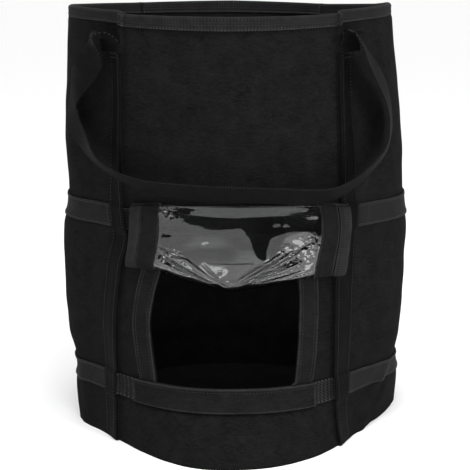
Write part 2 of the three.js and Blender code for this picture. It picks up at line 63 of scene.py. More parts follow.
# Fine sizes of the sewn edges and seams.
STEP_START = 1.2 * MM
EDGE_ZONE = 3 * MM
# Widths over which the edges of webbing and tape are lightened: rubbed wear and painted highlight.
WEBBING_WORN_HIGHLIT_EDGE = 1.6 * MM
TAPE_WORN_HIGHLIT_EDGE = 1.7 * MM
WEBBING_ROUNDING = 0.4 * MM
TAPE_ROUNDING = 0.3 * MM
TAPE_RIB = 0.8 * MM
TAPE_RIB_PLACES = (0.06, 0.94)
TAPE_RIB_WIDTH = 0.055
STRAP_OVERHANG = 2.4 * MM
BAND_BEAD = 0.4 * MM

# The step between a mesh's columns round the bag.
ROUND_PITCH = 3.0 * MM

# The outline of the bag at a few heights. height is a share of the bag's height, the rest are shares
# of its radius. flank presses the front corners in between the panel and the sides, and tip moves
# the right side's widest place back.
SECTION_COLUMNS = (
    "height", "left", "right", "front", "back", "panel_left", "panel_right", "shift", "flank", "tip",
)
SECTIONS = (
    (0.0, 0.975, 1.086, 1.058, 1.0, 0.68, 0.64, -0.034, 1.08, 0.39),
    (0.045, 0.985, 1.09, 0.985, 0.99, 0.68, 0.62, -0.04, 1.0, 0.36),
    (0.09, 0.99, 1.084, 0.885, 0.98, 0.68, 0.612, -0.042, 0.88, 0.26),
    (0.125, 0.974, 1.056, 0.822, 0.966, 0.678, 0.61, -0.043, 0.8, 0.12),
    (0.152, 0.984, 1.046, 0.805, 0.965, 0.678, 0.608, -0.043, 0.76, 0.06),
    (0.213, 1.026, 1.07, 0.803, 0.965, 0.677, 0.606, -0.04, 0.64, 0.02),
    (0.304, 1.05, 1.09, 0.808, 0.96, 0.672, 0.605, -0.037, 0.5, 0.0),
    (0.43, 1.05, 1.094, 0.807, 0.955, 0.63, 0.606, -0.023, 0.4, 0.0),
    (0.489, 1.04, 1.092, 0.8, 0.95, 0.59, 0.618, 0.008, 0.36, 0.0),
    (0.535, 1.008, 1.069, 0.795, 0.945, 0.604, 0.63, 0.017, 0.34, 0.0),
    (0.582, 1.006, 1.058, 0.8, 0.95, 0.616, 0.636, 0.009, 0.32, 0.0),
    (0.693, 1.022, 1.053, 0.817, 0.96, 0.62, 0.63, -0.003, 0.28, 0.0),
    (0.84, 0.994, 1.014, 0.84, 0.97, 0.614, 0.612, -0.012, 0.22, 0.0),
    (0.97, 0.986, 0.978, 0.857, 0.98, 0.605, 0.598, -0.017, 0.18, 0.0),
    (1.0, 0.972, 0.958, 0.863, 0.983, 0.602, 0.595, -0.017, 0.16, 0.0),
)

# How far the rim stands above the bag's height, by the distance along the felt from the middle of
# the front, in millimetres. It drops where the front panel begins.
RIM_COLUMNS = ("along", "rise")
RIM = (
    (-553, -0.5),
    (-430, -2.0),
    (-330, -1.0),
    (-270, 0.0),
    (-200, -0.7),
    (-118, -3.0),
    (-114, -6.2),
    (-60, -7.6),
    (0, -8.0),
    (60, -7.6),
    (114, -6.0),
    (118, -2.5),
    (200, 0.5),
    (270, 2.0),
    (330, -1.0),
    (430, -3.5),
    (553, -0.5),
)

# The hollow of the felt just outside the front straps: height, and depth at the left and the right,
# in millimetres. It is full between the first two distances from the crease and ends at the third.
HOLLOW_REACH = (20, 32, 90)
HOLLOW_COLUMNS = ("up", "left", "right")
HOLLOWS = (
    (0, 2.0, 1.0),
    (60, 4.0, 2.0),
    (120, 5.0, 2.0),
    (200, 4.0, 1.0),
    (250, 5.0, 2.0),
    (290, 8.0, 5.0),
    (350, 10.0, 9.0),
    (400, 9.0, 8.0),
    (430, 5.0, 4.0),
    (450, 1.5, 1.0),
)

# How far the window's sides stray outwards, in millimetres, by the share of the window's height. They
# start and stop within the first and last share of it.
BOW_START = 0.02
BOW_COLUMNS = ("share", "left", "right")
BOWS = (
    (0.0, -0.5, 4.0),
    (0.24, 4.1, 6.5),
    (0.41, 5.5, 7.2),
    (0.59, 0.9, 6.2),
    (0.78, -6.5, 2.0),
    (1.0, -10.0, -2.0),
)

# Soft dents and ridges of the felt. around is the distance along the felt from the middle of the
# front, up the height, wide and tall the reach each way, lean the turn in degrees, all in
# millimetres else. rise is how far the felt stands out, or goes in. They fade at the back seam.
DENT_FADE = 40 * MM
DENT_COLUMNS = ("around", "up", "wide", "tall", "lean", "rise")
DENTS = (
    (-124, 360, 5, 80, 0, -3.0),
    (123, 385, 5, 60, 0, -4.0),
    (-205, 300, 34, 90, 8, 2.0),
    (210, 310, 32, 80, -8, 2.0),
    (40, 340, 70, 60, 20, -2.0),
    (-50, 300, 60, 50, -15, 1.6),
    (60, 410, 60, 26, 0, 1.4),
    (190, 30, 7, 36, -34, 5.5),
    (212, 26, 9, 30, -30, -4.5),
    (166, 22, 8, 26, -30, -2.0),
    (-180, 26, 10, 30, 24, 2.6),
    (-214, 26, 9, 28, 14, -2.2),
    (-20, 22, 60, 16, 0, 1.2),
    (290, 130, 40, 60, 10, -3.0),
    (-300, 150, 44, 70, -12, -3.2),
    (380, 330, 50, 80, 0, 3.0),
    (-400, 300, 50, 90, 0, 3.0),
    (-520, 120, 70, 60, 0, -3.0),
    (480, 360, 60, 70, 12, -3.0),
)

# The folded flap in profile, from its sewn top edge to its free end. out is a share of the fold's
# thickness, up a share of its height above the lower fold.
ROLL_COLUMNS = ("out", "up")
ROLL = (
    (0.0, 1.0),
    (0.0, 0.7),
    (0.0, 0.35),
    (0.06, 0.12),
    (0.25, 0.02),
    (0.5, -0.02),
    (0.78, 0.04),
    (0.95, 0.15),
    (1.0, 0.32),
    (1.01, 0.48),
    (1.0, 0.6),
    (0.98, 0.66),
    (0.92, 0.72),
    (0.84, 0.78),
    (0.76, 0.835),
    (0.68, 0.87),
    (0.59, 0.905),
    (0.5, 0.94),
    (0.42, 0.965),
    (0.35, 0.965),
    (0.31, 0.93),
    (0.3, 0.8),
    (0.32, 0.6),
    (0.36, 0.35),
    (0.42, 0.16),
)
# The rows of the profile where its front face starts and ends, and the curve's steps between two rows.
ROLL_FRONT = (6, 19)
ROLL_STEPS = 20

# Sharp creases of the film's front face, each from one spot to another: millimetres from the film's
# middle, height, width and rise. They fan out from the lowest point of the fold.
CREASE_COLUMNS = ("across", "up", "to_across", "to_up", "wide", "rise")
CREASES = (
    (-6, 179, -80, 216, 3.2, 2.6),
    (-8, 180, -74, 206, 2.6, -2.0),
    (-10, 180, -64, 200, 2.2, 2.0),
    (-12, 180, -78, 199, 2.4, 2.0),
    (-7, 182, -52, 212, 2.4, -1.5),
    (-9, 181, -70, 211, 1.6, 1.5),
    (-5, 182, -30, 205, 2.0, 1.4),
    (-4, 180, 52, 207, 2.8, 2.4),
    (-3, 181, 60, 204, 2.2, -2.0),
    (-3, 182, 46, 217, 2.4, 2.0),
    (-3, 183, 37, 214, 1.8, -1.5),
    (-2, 180, 66, 197, 2.4, 2.0),
    (-3, 181, 56, 211, 1.6, 1.5),
    (0, 180, 79, 192, 2.0, -1.5),
    (-3, 185, 22, 207, 2.2, 1.5),
    (18, 192, 66, 224, 2.0, 1.6),
    (-26, 205.5, 14, 206, 1.4, -1.2),
    (-80, 222, -48, 210, 1.8, 1.4),
)

# Soft bulges of the film's front face, in the columns of the felt's dents, from the film's middle.
BULGES = (
    (50, 221, 26, 13, -8, 1.6),
    (-33, 221, 24, 8, 4, 1.0),
    (-60, 236, 20, 8, -6, 0.7),
    (-10, 241, 22, 6, 3, -0.5),
    (30, 240, 18, 6, 0, 0.8),
    (66, 206, 14, 12, 0, 0.8),
    (-74, 258, 9, 7, 0, -1.6),
    (70, 256, 12, 8, 0, -1.8),
)

# Crumpled places of the film's front face: millimetres from its middle, height, reach and rise, and
# the size of their facets.
CRUMPLE_GRAIN = 6
CRUMPLE_COLUMNS = ("across", "up", "reach", "rise")
CRUMPLES = (
    (69, 219, 8, 2.2),
    (-71, 256, 9, 2.4),
    (-64, 206, 13, 2.0),
    (46, 206, 12, 1.8),
    (-6, 190, 12, 1.2),
)

# The lower fold across the flap. across runs from -1 to 1 over the film, drop is a share of the
# film's sag, swell a share of its bulge.
FOLD_COLUMNS = ("across", "drop", "swell")
FOLDS = (
    (-1.0, 0.0, 0.0),
    (-0.55, 0.46, 0.6),
    (-0.06, 1.0, 1.0),
    (0.5, 0.68, 0.6),
    (1.0, 0.5, 0.0),
)

# The studio's dark screen: degrees to the right of the middle, its foot and its top in metres.
SCREEN_RADIUS = 0.95
SCREEN_PITCH = 2.5
SCREEN_COLUMNS = ("degrees", "foot", "top")
SCREEN = (
    (-120, 0.2, 1.0),
    (-75, 0.2, 0.95),
    (-58, 0.27, 0.73),
    (-36, 0.36, 0.72),
    (-16, 0.43, 0.7),
    (7, 0.52, 0.72),
    (13, 0.36, 0.72),
    (18, 0.06, 0.72),
    (26, 0.06, 0.71),
    (31, 0.26, 0.7),
    (38, 0.3, 0.71),
    (46, 0.2, 0.73),
    (62, 0.14, 1.0),
    (120, 0.1, 1.1),
)

# The studio's lights: place, width and height of the panel, power, and whether the light shows in
# reflections. Floor glints show there alone.
LIGHT_AIM = (0, 0, 0.22)
LIGHT_COLUMNS = ("name", "place", "width", "height", "power", "shows")
LIGHTS = (
    ("key", (1.6, -1.3, 1.2), 0.9, 0.9, 26.0, False),
    ("top", (-0.1, -0.75, 1.5), 0.7, 0.35, 9.0, False),
    ("left glint", (-0.7, -1.2, 1.9), 0.16, 0.3, 3.0, True),
    ("right glint", (0.5, -0.75, 1.9), 0.16, 0.3, 3.0, True),
    ("left floor glint", (-0.27, -0.62, 0.01), 0.4, 0.16, 0.6, True),
    ("right floor glint", (0.42, -0.55, 0.01), 0.3, 0.2, 0.6, True),
    ("high glint", (0.05, -0.6, 1.9), 0.3, 0.1, 2.0, True),
)

# The route of a drooping handle. around is a share of the strap's angle from the middle of the
# panel, rise runs from 0 at the lowest stretch to 1 at the straps' tops, off is a share of the
# webbing's width out from the wall. turn and flare point the webbing's width, in degrees. The steps
# are those of the curve between two rows.
HANDLE_STEPS = 10
HANDLE_DIP = 8 * MM
HANDLE_COLUMNS = ("around", "rise", "off", "turn", "flare")
HANDLE = (
    (-1.0, 1.0, 0.0, 0, 0),
    (-1.0, 1.05, 0.03, 0, 0),
    (-1.0, 1.09, 0.14, 0, 4),
    (-1.03, 1.125, 0.36, 0, 14),
    (-1.075, 1.12, 0.56, 0, 34),
    (-1.09, 1.06, 0.56, 4, 30),
    (-1.1, 0.99, 0.5, 8, 6),
    (-1.13, 0.94, 0.44, 14, -12),
    (-1.2, 0.87, 0.38, 18, -16),
    (-1.29, 0.8, 0.34, 16, -8),
    (-1.37, 0.72, 0.3, 10, 4),
    (-1.43, 0.63, 0.26, 5, 14),
    (-1.44, 0.56, 0.26, 6, 12),
    (-1.41, 0.5, 0.28, 12, 9),
    (-1.36, 0.43, 0.3, 26, 8),
    (-1.26, 0.36, 0.34, 36, 16),
    (-1.16, 0.28, 0.38, 44, 30),
    (-1.04, 0.2, 0.44, 52, 46),
    (-0.86, 0.13, 0.54, 62, 54),
    (-0.6, 0.07, 0.64, 78, 52),
    (-0.3, 0.05, 0.7, 88, 48),
    (0.0, 0.035, 0.7, 90, 46),
    (0.3, 0.02, 0.68, 90, 46),
    (0.5, 0.0, 0.66, 92, 46),
    (0.7, 0.0, 0.62, 104, 48),
    (0.9, 0.06, 0.56, 122, 46),
    (1.11, 0.17, 0.5, 136, 44),
    (1.28, 0.29, 0.44, 150, 36),
    (1.35, 0.42, 0.4, 166, 30),
    (1.36, 0.55, 0.38, 180, 28),
    (1.31, 0.69, 0.4, 186, 25),
    (1.2, 0.83, 0.46, 190, 26),
    (1.09, 0.96, 0.52, 188, 36),
    (1.02, 1.06, 0.56, 184, 44),
    (0.98, 1.14, 0.46, 180, 42),
    (0.98, 1.14, 0.24, 180, 18),
    (0.99, 1.09, 0.08, 180, 4),
    (1.0, 1.05, 0.03, 180, 0),
    (1.0, 1.0, 0.0, 180, 0),
)


def metres(name, description, default):
    """A size of the bag in metres."""
    return bpy.props.FloatProperty(name=name, description=description, default=default, unit="LENGTH")


def rgb(name, description, red, green, blue):
    return bpy.props.FloatVectorProperty(
        name=name, description=description, subtype="COLOR", size=4, default=(red, green, blue, 1.0))


class GrowBagSizes(bpy.types.PropertyGroup):
    """Real sizes of the bag, the same as the CAD part's."""

    radius: metres("Radius", "Radius that the outline's shares refer to", 0.175)
    height: metres("Height", "Height of the felt at the sides", 0.45)
    felt: metres("Felt", "Thickness of the felt", 2.5 * MM)
    gap: metres("Gap", "Clearance under a sewn piece", 0.35 * MM)
    webbing_width: metres("Webbing width", "Width of the straps and handles", 25 * MM)
    band_width: metres("Band width", "Width of the bands round the bag", 22.5 * MM)
    webbing: metres("Webbing", "Thickness of the webbing", 1.5 * MM)
    panel_width: metres("Panel width", "Front panel between its creases", 0.23)
    tuck: metres("Tuck", "How far the felt steps out beside a panel", 3.5 * MM)
    strap_foot: metres("Strap foot", "Height of a strap's lower end", 3 * MM)
    strap_top: metres("Strap top", "Height where a handle leaves its strap", 0.412)
    binding: metres("Binding", "Thickness of the rim's binding", 1.2 * MM)
    binding_depth: metres("Binding depth", "How far the binding reaches down", 11.5 * MM)
    lower_band: metres("Lower band", "Foot of the lower band", 47.5 * MM)
    upper_band: metres("Upper band", "Foot of the upper band", 230 * MM)
    window_width: metres("Window width", "Width of the harvest window", 145 * MM)
    window_centre: metres("Window centre", "Middle of the window along the felt", -2 * MM)
    window_clear: metres("Window clearance", "Flat felt beside the window's tapes", 5 * MM)
    tape_width: metres("Tape width", "Width of the hook-and-loop tape", 20 * MM)
    foot_tape_reach: metres("Foot tape reach", "How far the foot tape passes the side tapes", 7 * MM)
    hook_tape: metres("Tape", "Thickness of the hook-and-loop tape", 1.5 * MM)
    film: metres("Film", "Thickness of the clear film", 0.6 * MM)
    film_width: metres("Film width", "Width of the clear film", 156 * MM)
    flap_hem_width: metres("Flap hem width", "Width of the strips at the flap's outer edges", 12 * MM)
    flap_centre: metres("Flap centre", "Middle of the flap along the felt", 7 * MM)
    flap_top: metres("Flap top", "Height of the flap's sewn edge", 0.262)
    flap_crown: metres("Flap crown", "Rise of the flap's top in its middle", 8 * MM)
    roll_drop: metres("Fold's top", "How far the fold's top lies under the sewn edge", 4 * MM)
    roll_height: metres("Fold height", "Height of the folded flap", 62 * MM)
    roll_stack: metres("Fold thickness", "Thickness of the folded flap at its sides", 10 * MM)
    roll_bulge: metres("Fold bulge", "Extra thickness in the flap's middle", 8 * MM)
    film_sag: metres("Film sag", "How far the fold's middle hangs down", 18 * MM)
    handle_rise: metres("Handle rise", "Height of the handle's lowest stretch over the flap", 10 * MM)
    handle_clear: metres("Handle clearance", "Gap between a strap's top and its handle", 1.5 * MM)


class GrowBagColours(bpy.types.PropertyGroup):
    """Colours of the bag's materials."""

    felt: rgb("Felt", "Black needle-punched felt", 0.0072, 0.0072, 0.0073)
    webbing: rgb("Webbing", "Black woven webbing", 0.0118, 0.0118, 0.012)
    binding: rgb("Binding", "Black binding tape on the rim", 0.0125, 0.0125, 0.0127)
    tape: rgb("Hook-and-loop tape", "Black hook-and-loop tape", 0.009, 0.009, 0.0091)
    thread: rgb("Thread", "Sewing thread", 0.0075, 0.0075, 0.0077)
    film: rgb("Film", "Clear vinyl film", 0.93, 0.94, 0.95)
    floor: rgb("Floor", "Studio floor", 0.92, 0.92, 0.92)


def sizes():
    return bpy.context.scene.grow_bag_sizes


def colours():
    return bpy.context.scene.grow_bag_colours


# Table helpers

def named(columns, values):
    """A row's values by the names of their columns."""
    return dict(zip(columns, values))


def column(table, columns, name):
    """One column of a table."""
    return [row[columns.index(name)] for row in table]


def smooth_between(table, i, t):
    """A row of a table between rows i and i + 1, on a smooth curve through all of its rows."""
    before, start = np.array(table[max(i - 1, 0)], float), np.array(table[i], float)
    last = len(table) - 1
    end, after = np.array(table[min(i + 1, last)], float), np.array(table[min(i + 2, last)], float)
    slope_in, slope_out, rise = (end - before) / 2, (after - start) / 2, end - start
    return start + t * (slope_in + t * (
        3 * rise - 2 * slope_in - slope_out + t * (slope_in + slope_out - 2 * rise)))


def row_at(table, value):
    """The row of a table at a value of its first column, on the smooth curve."""
    i = 0
    while i < len(table) - 2 and value > table[i + 1][0]:
        i += 1
    share = (value - table[i][0]) / (table[i + 1][0] - table[i][0])
    return smooth_between(table, i, min(max(share, 0.0), 1.0))


def curve_rows(table, steps):
    """All rows of the smooth curve through a table, with that many steps between two of its rows."""
    rows = [smooth_between(table, i, k / steps) for i in range(len(table) - 1) for k in range(steps)]
    return np.array(rows + [np.array(table[-1], float)])


def lengths_along(points):
    """The length run at each point of a line, from 0."""
    return np.concatenate([[0.0], np.cumsum(np.linalg.norm(np.diff(points, axis=0), axis=1))])


def ease(x, start, end):
    t = np.clip((np.asarray(x, float) - start) / (end - start), 0.0, 1.0)
    return t * t * (3 - 2 * t)


# The felt's shape

class Outline:
    """The felt's outline at one height, by the distance along it from the middle of the front."""

    STEPS = 720

    def __init__(self, height):
        s = sizes()
        row = named(SECTION_COLUMNS, row_at(SECTIONS, min(height / s.height, 1.0)))
        self.shift = row["shift"] * s.radius
        turn = np.linspace(-math.pi, math.pi, 2 * self.STEPS + 1)
        across, ahead = np.sin(turn), np.cos(turn)
        wide = np.where(across < 0, row["left"], row["right"])
        deep = np.where(ahead > 0, row["front"], row["back"])
        pressed = row["flank"] * np.abs(across) ** 3 * np.maximum(ahead, 0.0)
        self.x = s.radius * wide * across
        self.y = s.radius * (row["tip"] * np.maximum(across, 0.0) ** 4 - deep * ahead * (1 - pressed))
        self.turn = turn
        run = lengths_along(np.stack([self.x, self.y], axis=1))
        self.run = run - run[self.STEPS]
        along_x, along_y = np.gradient(self.x, self.run), np.gradient(self.y, self.run)
        length = np.hypot(along_x, along_y)
        self.out_x, self.out_y = along_y / length, -along_x / length
        self.ends = {-1: -self.run[0], 1: self.run[-1]}
        self.creases = {}
        for way, share in ((-1, row["panel_left"]), (1, row["panel_right"])):
            reach = share * s.radius
            half = slice(self.STEPS, None) if way > 0 else slice(self.STEPS, None, -1)
            x, far, ahead_half = np.abs(self.x[half]), np.abs(self.run[half]), ahead[half]
            front, back = ahead_half > 0, ahead_half < 0
            self.creases[way] = (
                np.interp(reach, x[front], far[front]),
                self.ends[way] - np.interp(reach, x[back][::-1], far[back][::-1]),
            )

    def placed(self, felt):
        """Distances along the outline of spots of the sewn felt."""
        s = sizes()
        crease_at = s.panel_width / 2
        window_reach = s.window_width / 2 + s.tape_width + s.window_clear
        felt = np.asarray(felt, float)
        way = np.where(felt < 0, -1.0, 1.0)
        size = np.abs(felt)
        crease = [
            np.where(felt < 0, left, right) for left, right in zip(self.creases[-1], self.creases[1])]
        whole = np.where(felt < 0, self.ends[-1], self.ends[1])
        half = felt_half()

        def panel(distance, side, shift):
            mix = ease(distance, window_reach, crease_at)
            inside = distance + shift
            outside = crease[side] + distance - crease_at
            return inside * (1 - mix) + outside * mix

        near = crease_at + 2 * s.webbing_width
        front = panel(np.minimum(size, near), 0, way * self.shift)
        back = whole - panel(np.minimum(half - size, near), 1, 0.0)
        share = np.clip((size - near) / (half - 2 * near), 0.0, 1.0)
        return way * (front * (1 - share) + back * share)


def felt_half():
    """The felt's nominal length from the middle of the front to the middle of the back."""
    return 3.16 * sizes().radius


_outlines = {}


def outline_at(height):
    key = round(height, 7)
    if key not in _outlines:
        _outlines[key] = Outline(height)
    return _outlines[key]


def tuck_at(felt):
    """The step of the felt beside each panel, from 0 to 1, by the distance along the felt."""
    s = sizes()
    crease, width = s.panel_width / 2, s.webbing_width
    size = np.abs(np.asarray(felt, float))
    places = (crease - STEP_START, crease, crease + width / 2, crease + width,
              crease + 1.5 * width, crease + 2 * width)
    steps = (0.0, 1.0, 0.8, 0.55, 0.25, 0.0)
    return np.interp(size, places, steps) + np.interp(felt_half() - size, places, steps)


def lump(row, along, up):
    """A soft dent or ridge at places along and up, all in millimetres."""
    lean = math.radians(row["lean"])
    x, z = along - row["around"], up - row["up"]
    across = (x * math.cos(lean) + z * math.sin(lean)) / row["wide"]
    rising = (-x * math.sin(lean) + z * math.cos(lean)) / row["tall"]
    return row["rise"] * np.exp(-across ** 2 - rising ** 2)


def dents_at(felt, height):
    total = sum(lump(named(DENT_COLUMNS, row), np.asarray(felt) / MM, height / MM) for row in DENTS)
    return total * MM * ease(felt_half() - np.abs(felt), 0, DENT_FADE)


def ripple_at(height, x, y):
    """Low unevenness of the felt, calmer where webbing and binding hold it."""
    s = sizes()
    held_by_band, band_reach = 0.75, 16 * MM
    held_by_rim, rim_reach = 0.7, 30 * MM
    calm = 1.0
    for foot in (s.lower_band, s.upper_band):
        away = (height - foot - s.band_width / 2) / band_reach
        calm *= 1 - held_by_band * math.exp(-away ** 2)
    calm *= 1 - held_by_rim + held_by_rim * float(ease(s.height - height, 0.0, rim_reach))
    total = 0.0
    # Waves to the metre round the bag and up it, a shift, and how far each set of waves stands out.
    for around, up, shift, rise in ((14, 11, 0, 2.2 * MM), (45, 38, 7, 0.7 * MM)):
        total = total + rise * np.array([
            noise.noise((a * around + shift, b * around, height * up)) for a, b in zip(x, y)])
    return calm * total


def hollow_at(felt, height):
    """How far the felt goes in just outside the front straps."""
    ups = column(HOLLOWS, HOLLOW_COLUMNS, "up")
    left, right = (
        np.interp(height / MM, ups, column(HOLLOWS, HOLLOW_COLUMNS, side)) for side in ("left", "right"))
    depth = np.where(np.asarray(felt) < 0, left, right)
    beyond = np.abs(felt) / MM - sizes().panel_width / 2 / MM
    full, fades, ends = HOLLOW_REACH
    return -depth * MM * ease(beyond, 0, full) * (1 - ease(beyond, fades, ends))


def rim_rise(felt, height):
    """How far the rim's own rise and fall moves the felt at a height."""
    along, rise = (column(RIM, RIM_COLUMNS, name) for name in RIM_COLUMNS)
    return np.interp(np.asarray(felt) / MM, along, rise) * MM * min(height / sizes().height, 1.0) ** 2


def felt_points(felt, height, off=0.0, tucked=True):
    """Points off the felt's outer face, at distances along it, with the outward directions."""
    s = sizes()
    felt = np.asarray(felt, float)
    held = min(height, s.height)
    outline = outline_at(held)
    run = outline.placed(felt)
    x, y, out_x, out_y = (
        np.interp(run, outline.run, a) for a in (outline.x, outline.y, outline.out_x, outline.out_y))
    lift = np.asarray(off, float) + (s.tuck * tuck_at(felt) if tucked else 0.0)
    lift = lift + dents_at(felt, held) + hollow_at(felt, held) + ripple_at(held, x, y)
    place = np.stack([x + out_x * lift, y + out_y * lift, height + rim_rise(felt, held)], axis=-1)
    return place, np.stack([out_x, out_y, np.zeros_like(out_x)], axis=-1)


def bowed(felt, height):
    """Moves the felt's columns with the stray sides of the window."""
    s = sizes()
    felt = np.asarray(felt, float)
    foot = s.lower_band + s.band_width
    share = (height - foot) / (s.upper_band - foot)
    if not 0 < share < 1:
        return felt
    row = named(BOW_COLUMNS, row_at(BOWS, share))
    edge = s.window_width / 2
    from_middle = felt - s.window_centre
    size = np.abs(from_middle)
    weight = np.clip(size / edge, 0, 1) * (1 - ease(size, edge + s.tape_width, edge + 2 * s.tape_width))
    bow = np.where(from_middle < 0, row["left"], row["right"]) * MM
    fade = float(ease(share, 0.0, BOW_START)) * (1 - float(ease(share, 1 - BOW_START, 1.0)))
    return felt + np.sign(from_middle) * weight * bow * fade


# Mesh helpers

def object_from(bm, name):
    mesh = bpy.data.meshes.new(name)
    bm.to_mesh(mesh)
    bm.free()
    for polygon in mesh.polygons:
        polygon.use_smooth = True
    piece = bpy.data.objects.new(name, mesh)
    bpy.context.scene.collection.objects.link(piece)
    return piece


def cloth_mesh(columns, rows, place, cut=None, borders=(0.0, 0.0), turned=False):
    """A grid laid out by place(row, columns), with its columns and rows in metres.

    Its UV map holds those metres, across the piece first and along it second; turned swaps them. Its edge
    attribute is 1 at the edges and fades to 0 over the widths in borders: the mask of the edges' wear and
    painted highlight.
    """
    bm = bmesh.new()
    wide, tall = len(columns) - 1, len(rows) - 1
    bmesh.ops.create_grid(bm, x_segments=wide, y_segments=tall, size=1.0)
    points = [place(row, columns) for row in rows]
    uv = bm.loops.layers.uv.new("UVMap")
    edge_wear_highlight_mask = bm.verts.layers.float.new("edge_wear_highlight_mask")
    cell = {}
    for vertex in bm.verts:
        i = round((vertex.co.x + 1) / 2 * wide)
        j = round((vertex.co.y + 1) / 2 * tall)
        cell[vertex] = (i, j)
        inside = (
            min(columns[i] - columns[0], columns[-1] - columns[i]),
            min(rows[j] - rows[0], rows[-1] - rows[j]))
        vertex[edge_wear_highlight_mask] = max(
            max(0.0, 1 - depth / border) if border else 0.0 for depth, border in zip(inside, borders))
    for face in bm.faces:
        for loop in face.loops:
            i, j = cell[loop.vert]
            loop[uv].uv = (rows[j], columns[i]) if turned else (columns[i], rows[j])
    if cut:
        gone = []
        for face in bm.faces:
            i = min(cell[v][0] for v in face.verts)
            j = min(cell[v][1] for v in face.verts)
            if cut((columns[i] + columns[i + 1]) / 2, (rows[j] + rows[j + 1]) / 2):
                gone.append(face)
        bmesh.ops.delete(bm, geom=gone, context="FACES")
    for vertex in bm.verts:
        i, j = cell[vertex]
        vertex.co = points[j][i]
    bmesh.ops.remove_doubles(bm, verts=bm.verts[:], dist=0.02 * MM)
    return bm


def thicken(piece, thickness, side=1.0, edge=0.0):
    """Gives a sheet its thickness, outwards for side 1, and rounds its edges where edge is not 0."""
    wall = piece.modifiers.new("thickness", "SOLIDIFY")
    wall.thickness = thickness
    wall.offset = side
    wall.use_even_offset = side != 0
    wall.use_rim = True
    if edge:
        rounding = piece.modifiers.new("edges", "BEVEL")
        rounding.width = edge
        rounding.segments = 2
        rounding.limit_method = "ANGLE"
        rounding.angle_limit = math.radians(50)


def thick_piece(bm, name, thickness, side=1.0, edge=0.0):
    """The object of a sheet's mesh, with its thickness."""
    piece = object_from(bm, name)
    thicken(piece, thickness, side, edge)
    return piece


def finish_piece(piece, material, slot, *nodes):
    piece.data.materials.clear()
    piece.data.materials.append(material)
    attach(piece, "root")
    if nodes:
        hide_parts(*nodes)


def spaced(start, end, pitch):
    return np.linspace(start, end, max(int(math.ceil(abs(end - start) / pitch)), 1) + 1)


def joined(*parts):
    """Rising values with no repeats."""
    return np.unique(np.round(np.concatenate(parts), 7))


def edged(start, end, zone, first, middle, last):
    """Places from start to end with their own pitch in the zones beside both ends."""
    return joined(
        spaced(start, start + zone, first), spaced(start + zone, end - zone, middle),
        spaced(end - zone, end, last))


def around_bag(pitch):
    """Places all round the bag, with extra ones where the felt steps beside each panel."""
    half, crease = felt_half(), sizes().panel_width / 2
    step = np.array([crease - STEP_START, crease])
    return joined(spaced(-half, half, pitch), step, -step, half - step, step - half)


def bead(share, *places, width=0.06):
    """A raised line at each of these shares of a piece's width, from 0 to 1."""
    return sum(np.exp(-((np.asarray(share) - place) / width) ** 2) for place in places)


def strap_lift(height):
    """How far a strap climbs to cross the bands under it."""
    s = sizes()
    ramp = 4 * MM
    lift = 0.0
    for foot in (s.lower_band, s.upper_band):
        up = float(ease(height, foot - ramp, foot))
        down = 1 - float(ease(height, foot + s.band_width, foot + s.band_width + ramp))
        lift = max(lift, min(up, down))
    return lift * (s.webbing + s.gap)


# Shader helpers

def nodes_of(material):
    material.use_nodes = True
    tree = material.node_tree
    tree.nodes.clear()
    output = tree.nodes.new("ShaderNodeOutputMaterial")
    shader = tree.nodes.new("ShaderNodeBsdfPrincipled")
    tree.links.new(shader.outputs["BSDF"], output.inputs["Surface"])
    return tree, shader


def group_once(name, inputs, outputs, build):
    """The shader node group of that name, laid out by build(group, given, out) the first time.

    inputs are (name, kind, default), outputs are (name, kind).
    """
    if name not in bpy.data.node_groups:
        group = bpy.data.node_groups.new(name, "ShaderNodeTree")
        for label, kind, default in inputs:
            socket = group.interface.new_socket(label, in_out="INPUT", socket_type=kind)
            if default is not None:
                socket.default_value = default
        for label, kind in outputs:
            group.interface.new_socket(label, in_out="OUTPUT", socket_type=kind)
        given, out = group.nodes.new("NodeGroupInput"), group.nodes.new("NodeGroupOutput")
        build(group, given.outputs, out.inputs)
    return bpy.data.node_groups[name]


def material_once(name, build):
    """The material of that name, laid out by build(tree, shader) the first time."""
    if name not in bpy.data.materials:
        material = bpy.data.materials.new(name)
        build(*nodes_of(material))
    return bpy.data.materials[name]


def math_node(tree, operation, *values):
    node = tree.nodes.new("ShaderNodeMath")
    node.operation = operation
    for socket, value in zip(node.inputs, values):
        if isinstance(value, (int, float)):
            socket.default_value = value
        else:
            tree.links.new(value, socket)
    return node.outputs[0]


def times(tree, one, other):
    return math_node(tree, "MULTIPLY", one, other)


def plus(tree, one, other):
    return math_node(tree, "ADD", one, other)


def noise_node(tree, vector, scale, detail=2.0, roughness=0.5):
    node = tree.nodes.new("ShaderNodeTexNoise")
    node.inputs["Detail"].default_value = detail
    node.inputs["Roughness"].default_value = roughness
    if isinstance(scale, (int, float)):
        node.inputs["Scale"].default_value = scale
    else:
        tree.links.new(scale, node.inputs["Scale"])
    tree.links.new(vector, node.inputs["Vector"])
    return node.outputs["Fac"]


def remap(tree, value, low, high, start, end):
    node = tree.nodes.new("ShaderNodeMapRange")
    node.inputs["From Min"].default_value = low
    node.inputs["From Max"].default_value = high
    node.inputs["To Min"].default_value = start
    node.inputs["To Max"].default_value = end
    tree.links.new(value, node.inputs["Value"])
    return node.outputs["Result"]


def tinted(tree, colour, amount):
    """colour times amount."""
    node = tree.nodes.new("ShaderNodeMix")
    node.data_type = "RGBA"
    node.blend_type = "MULTIPLY"
    node.inputs[0].default_value = 1.0
    tree.links.new(colour, node.inputs["A"])
    tree.links.new(amount, node.inputs["B"])
    return node.outputs["Result"]


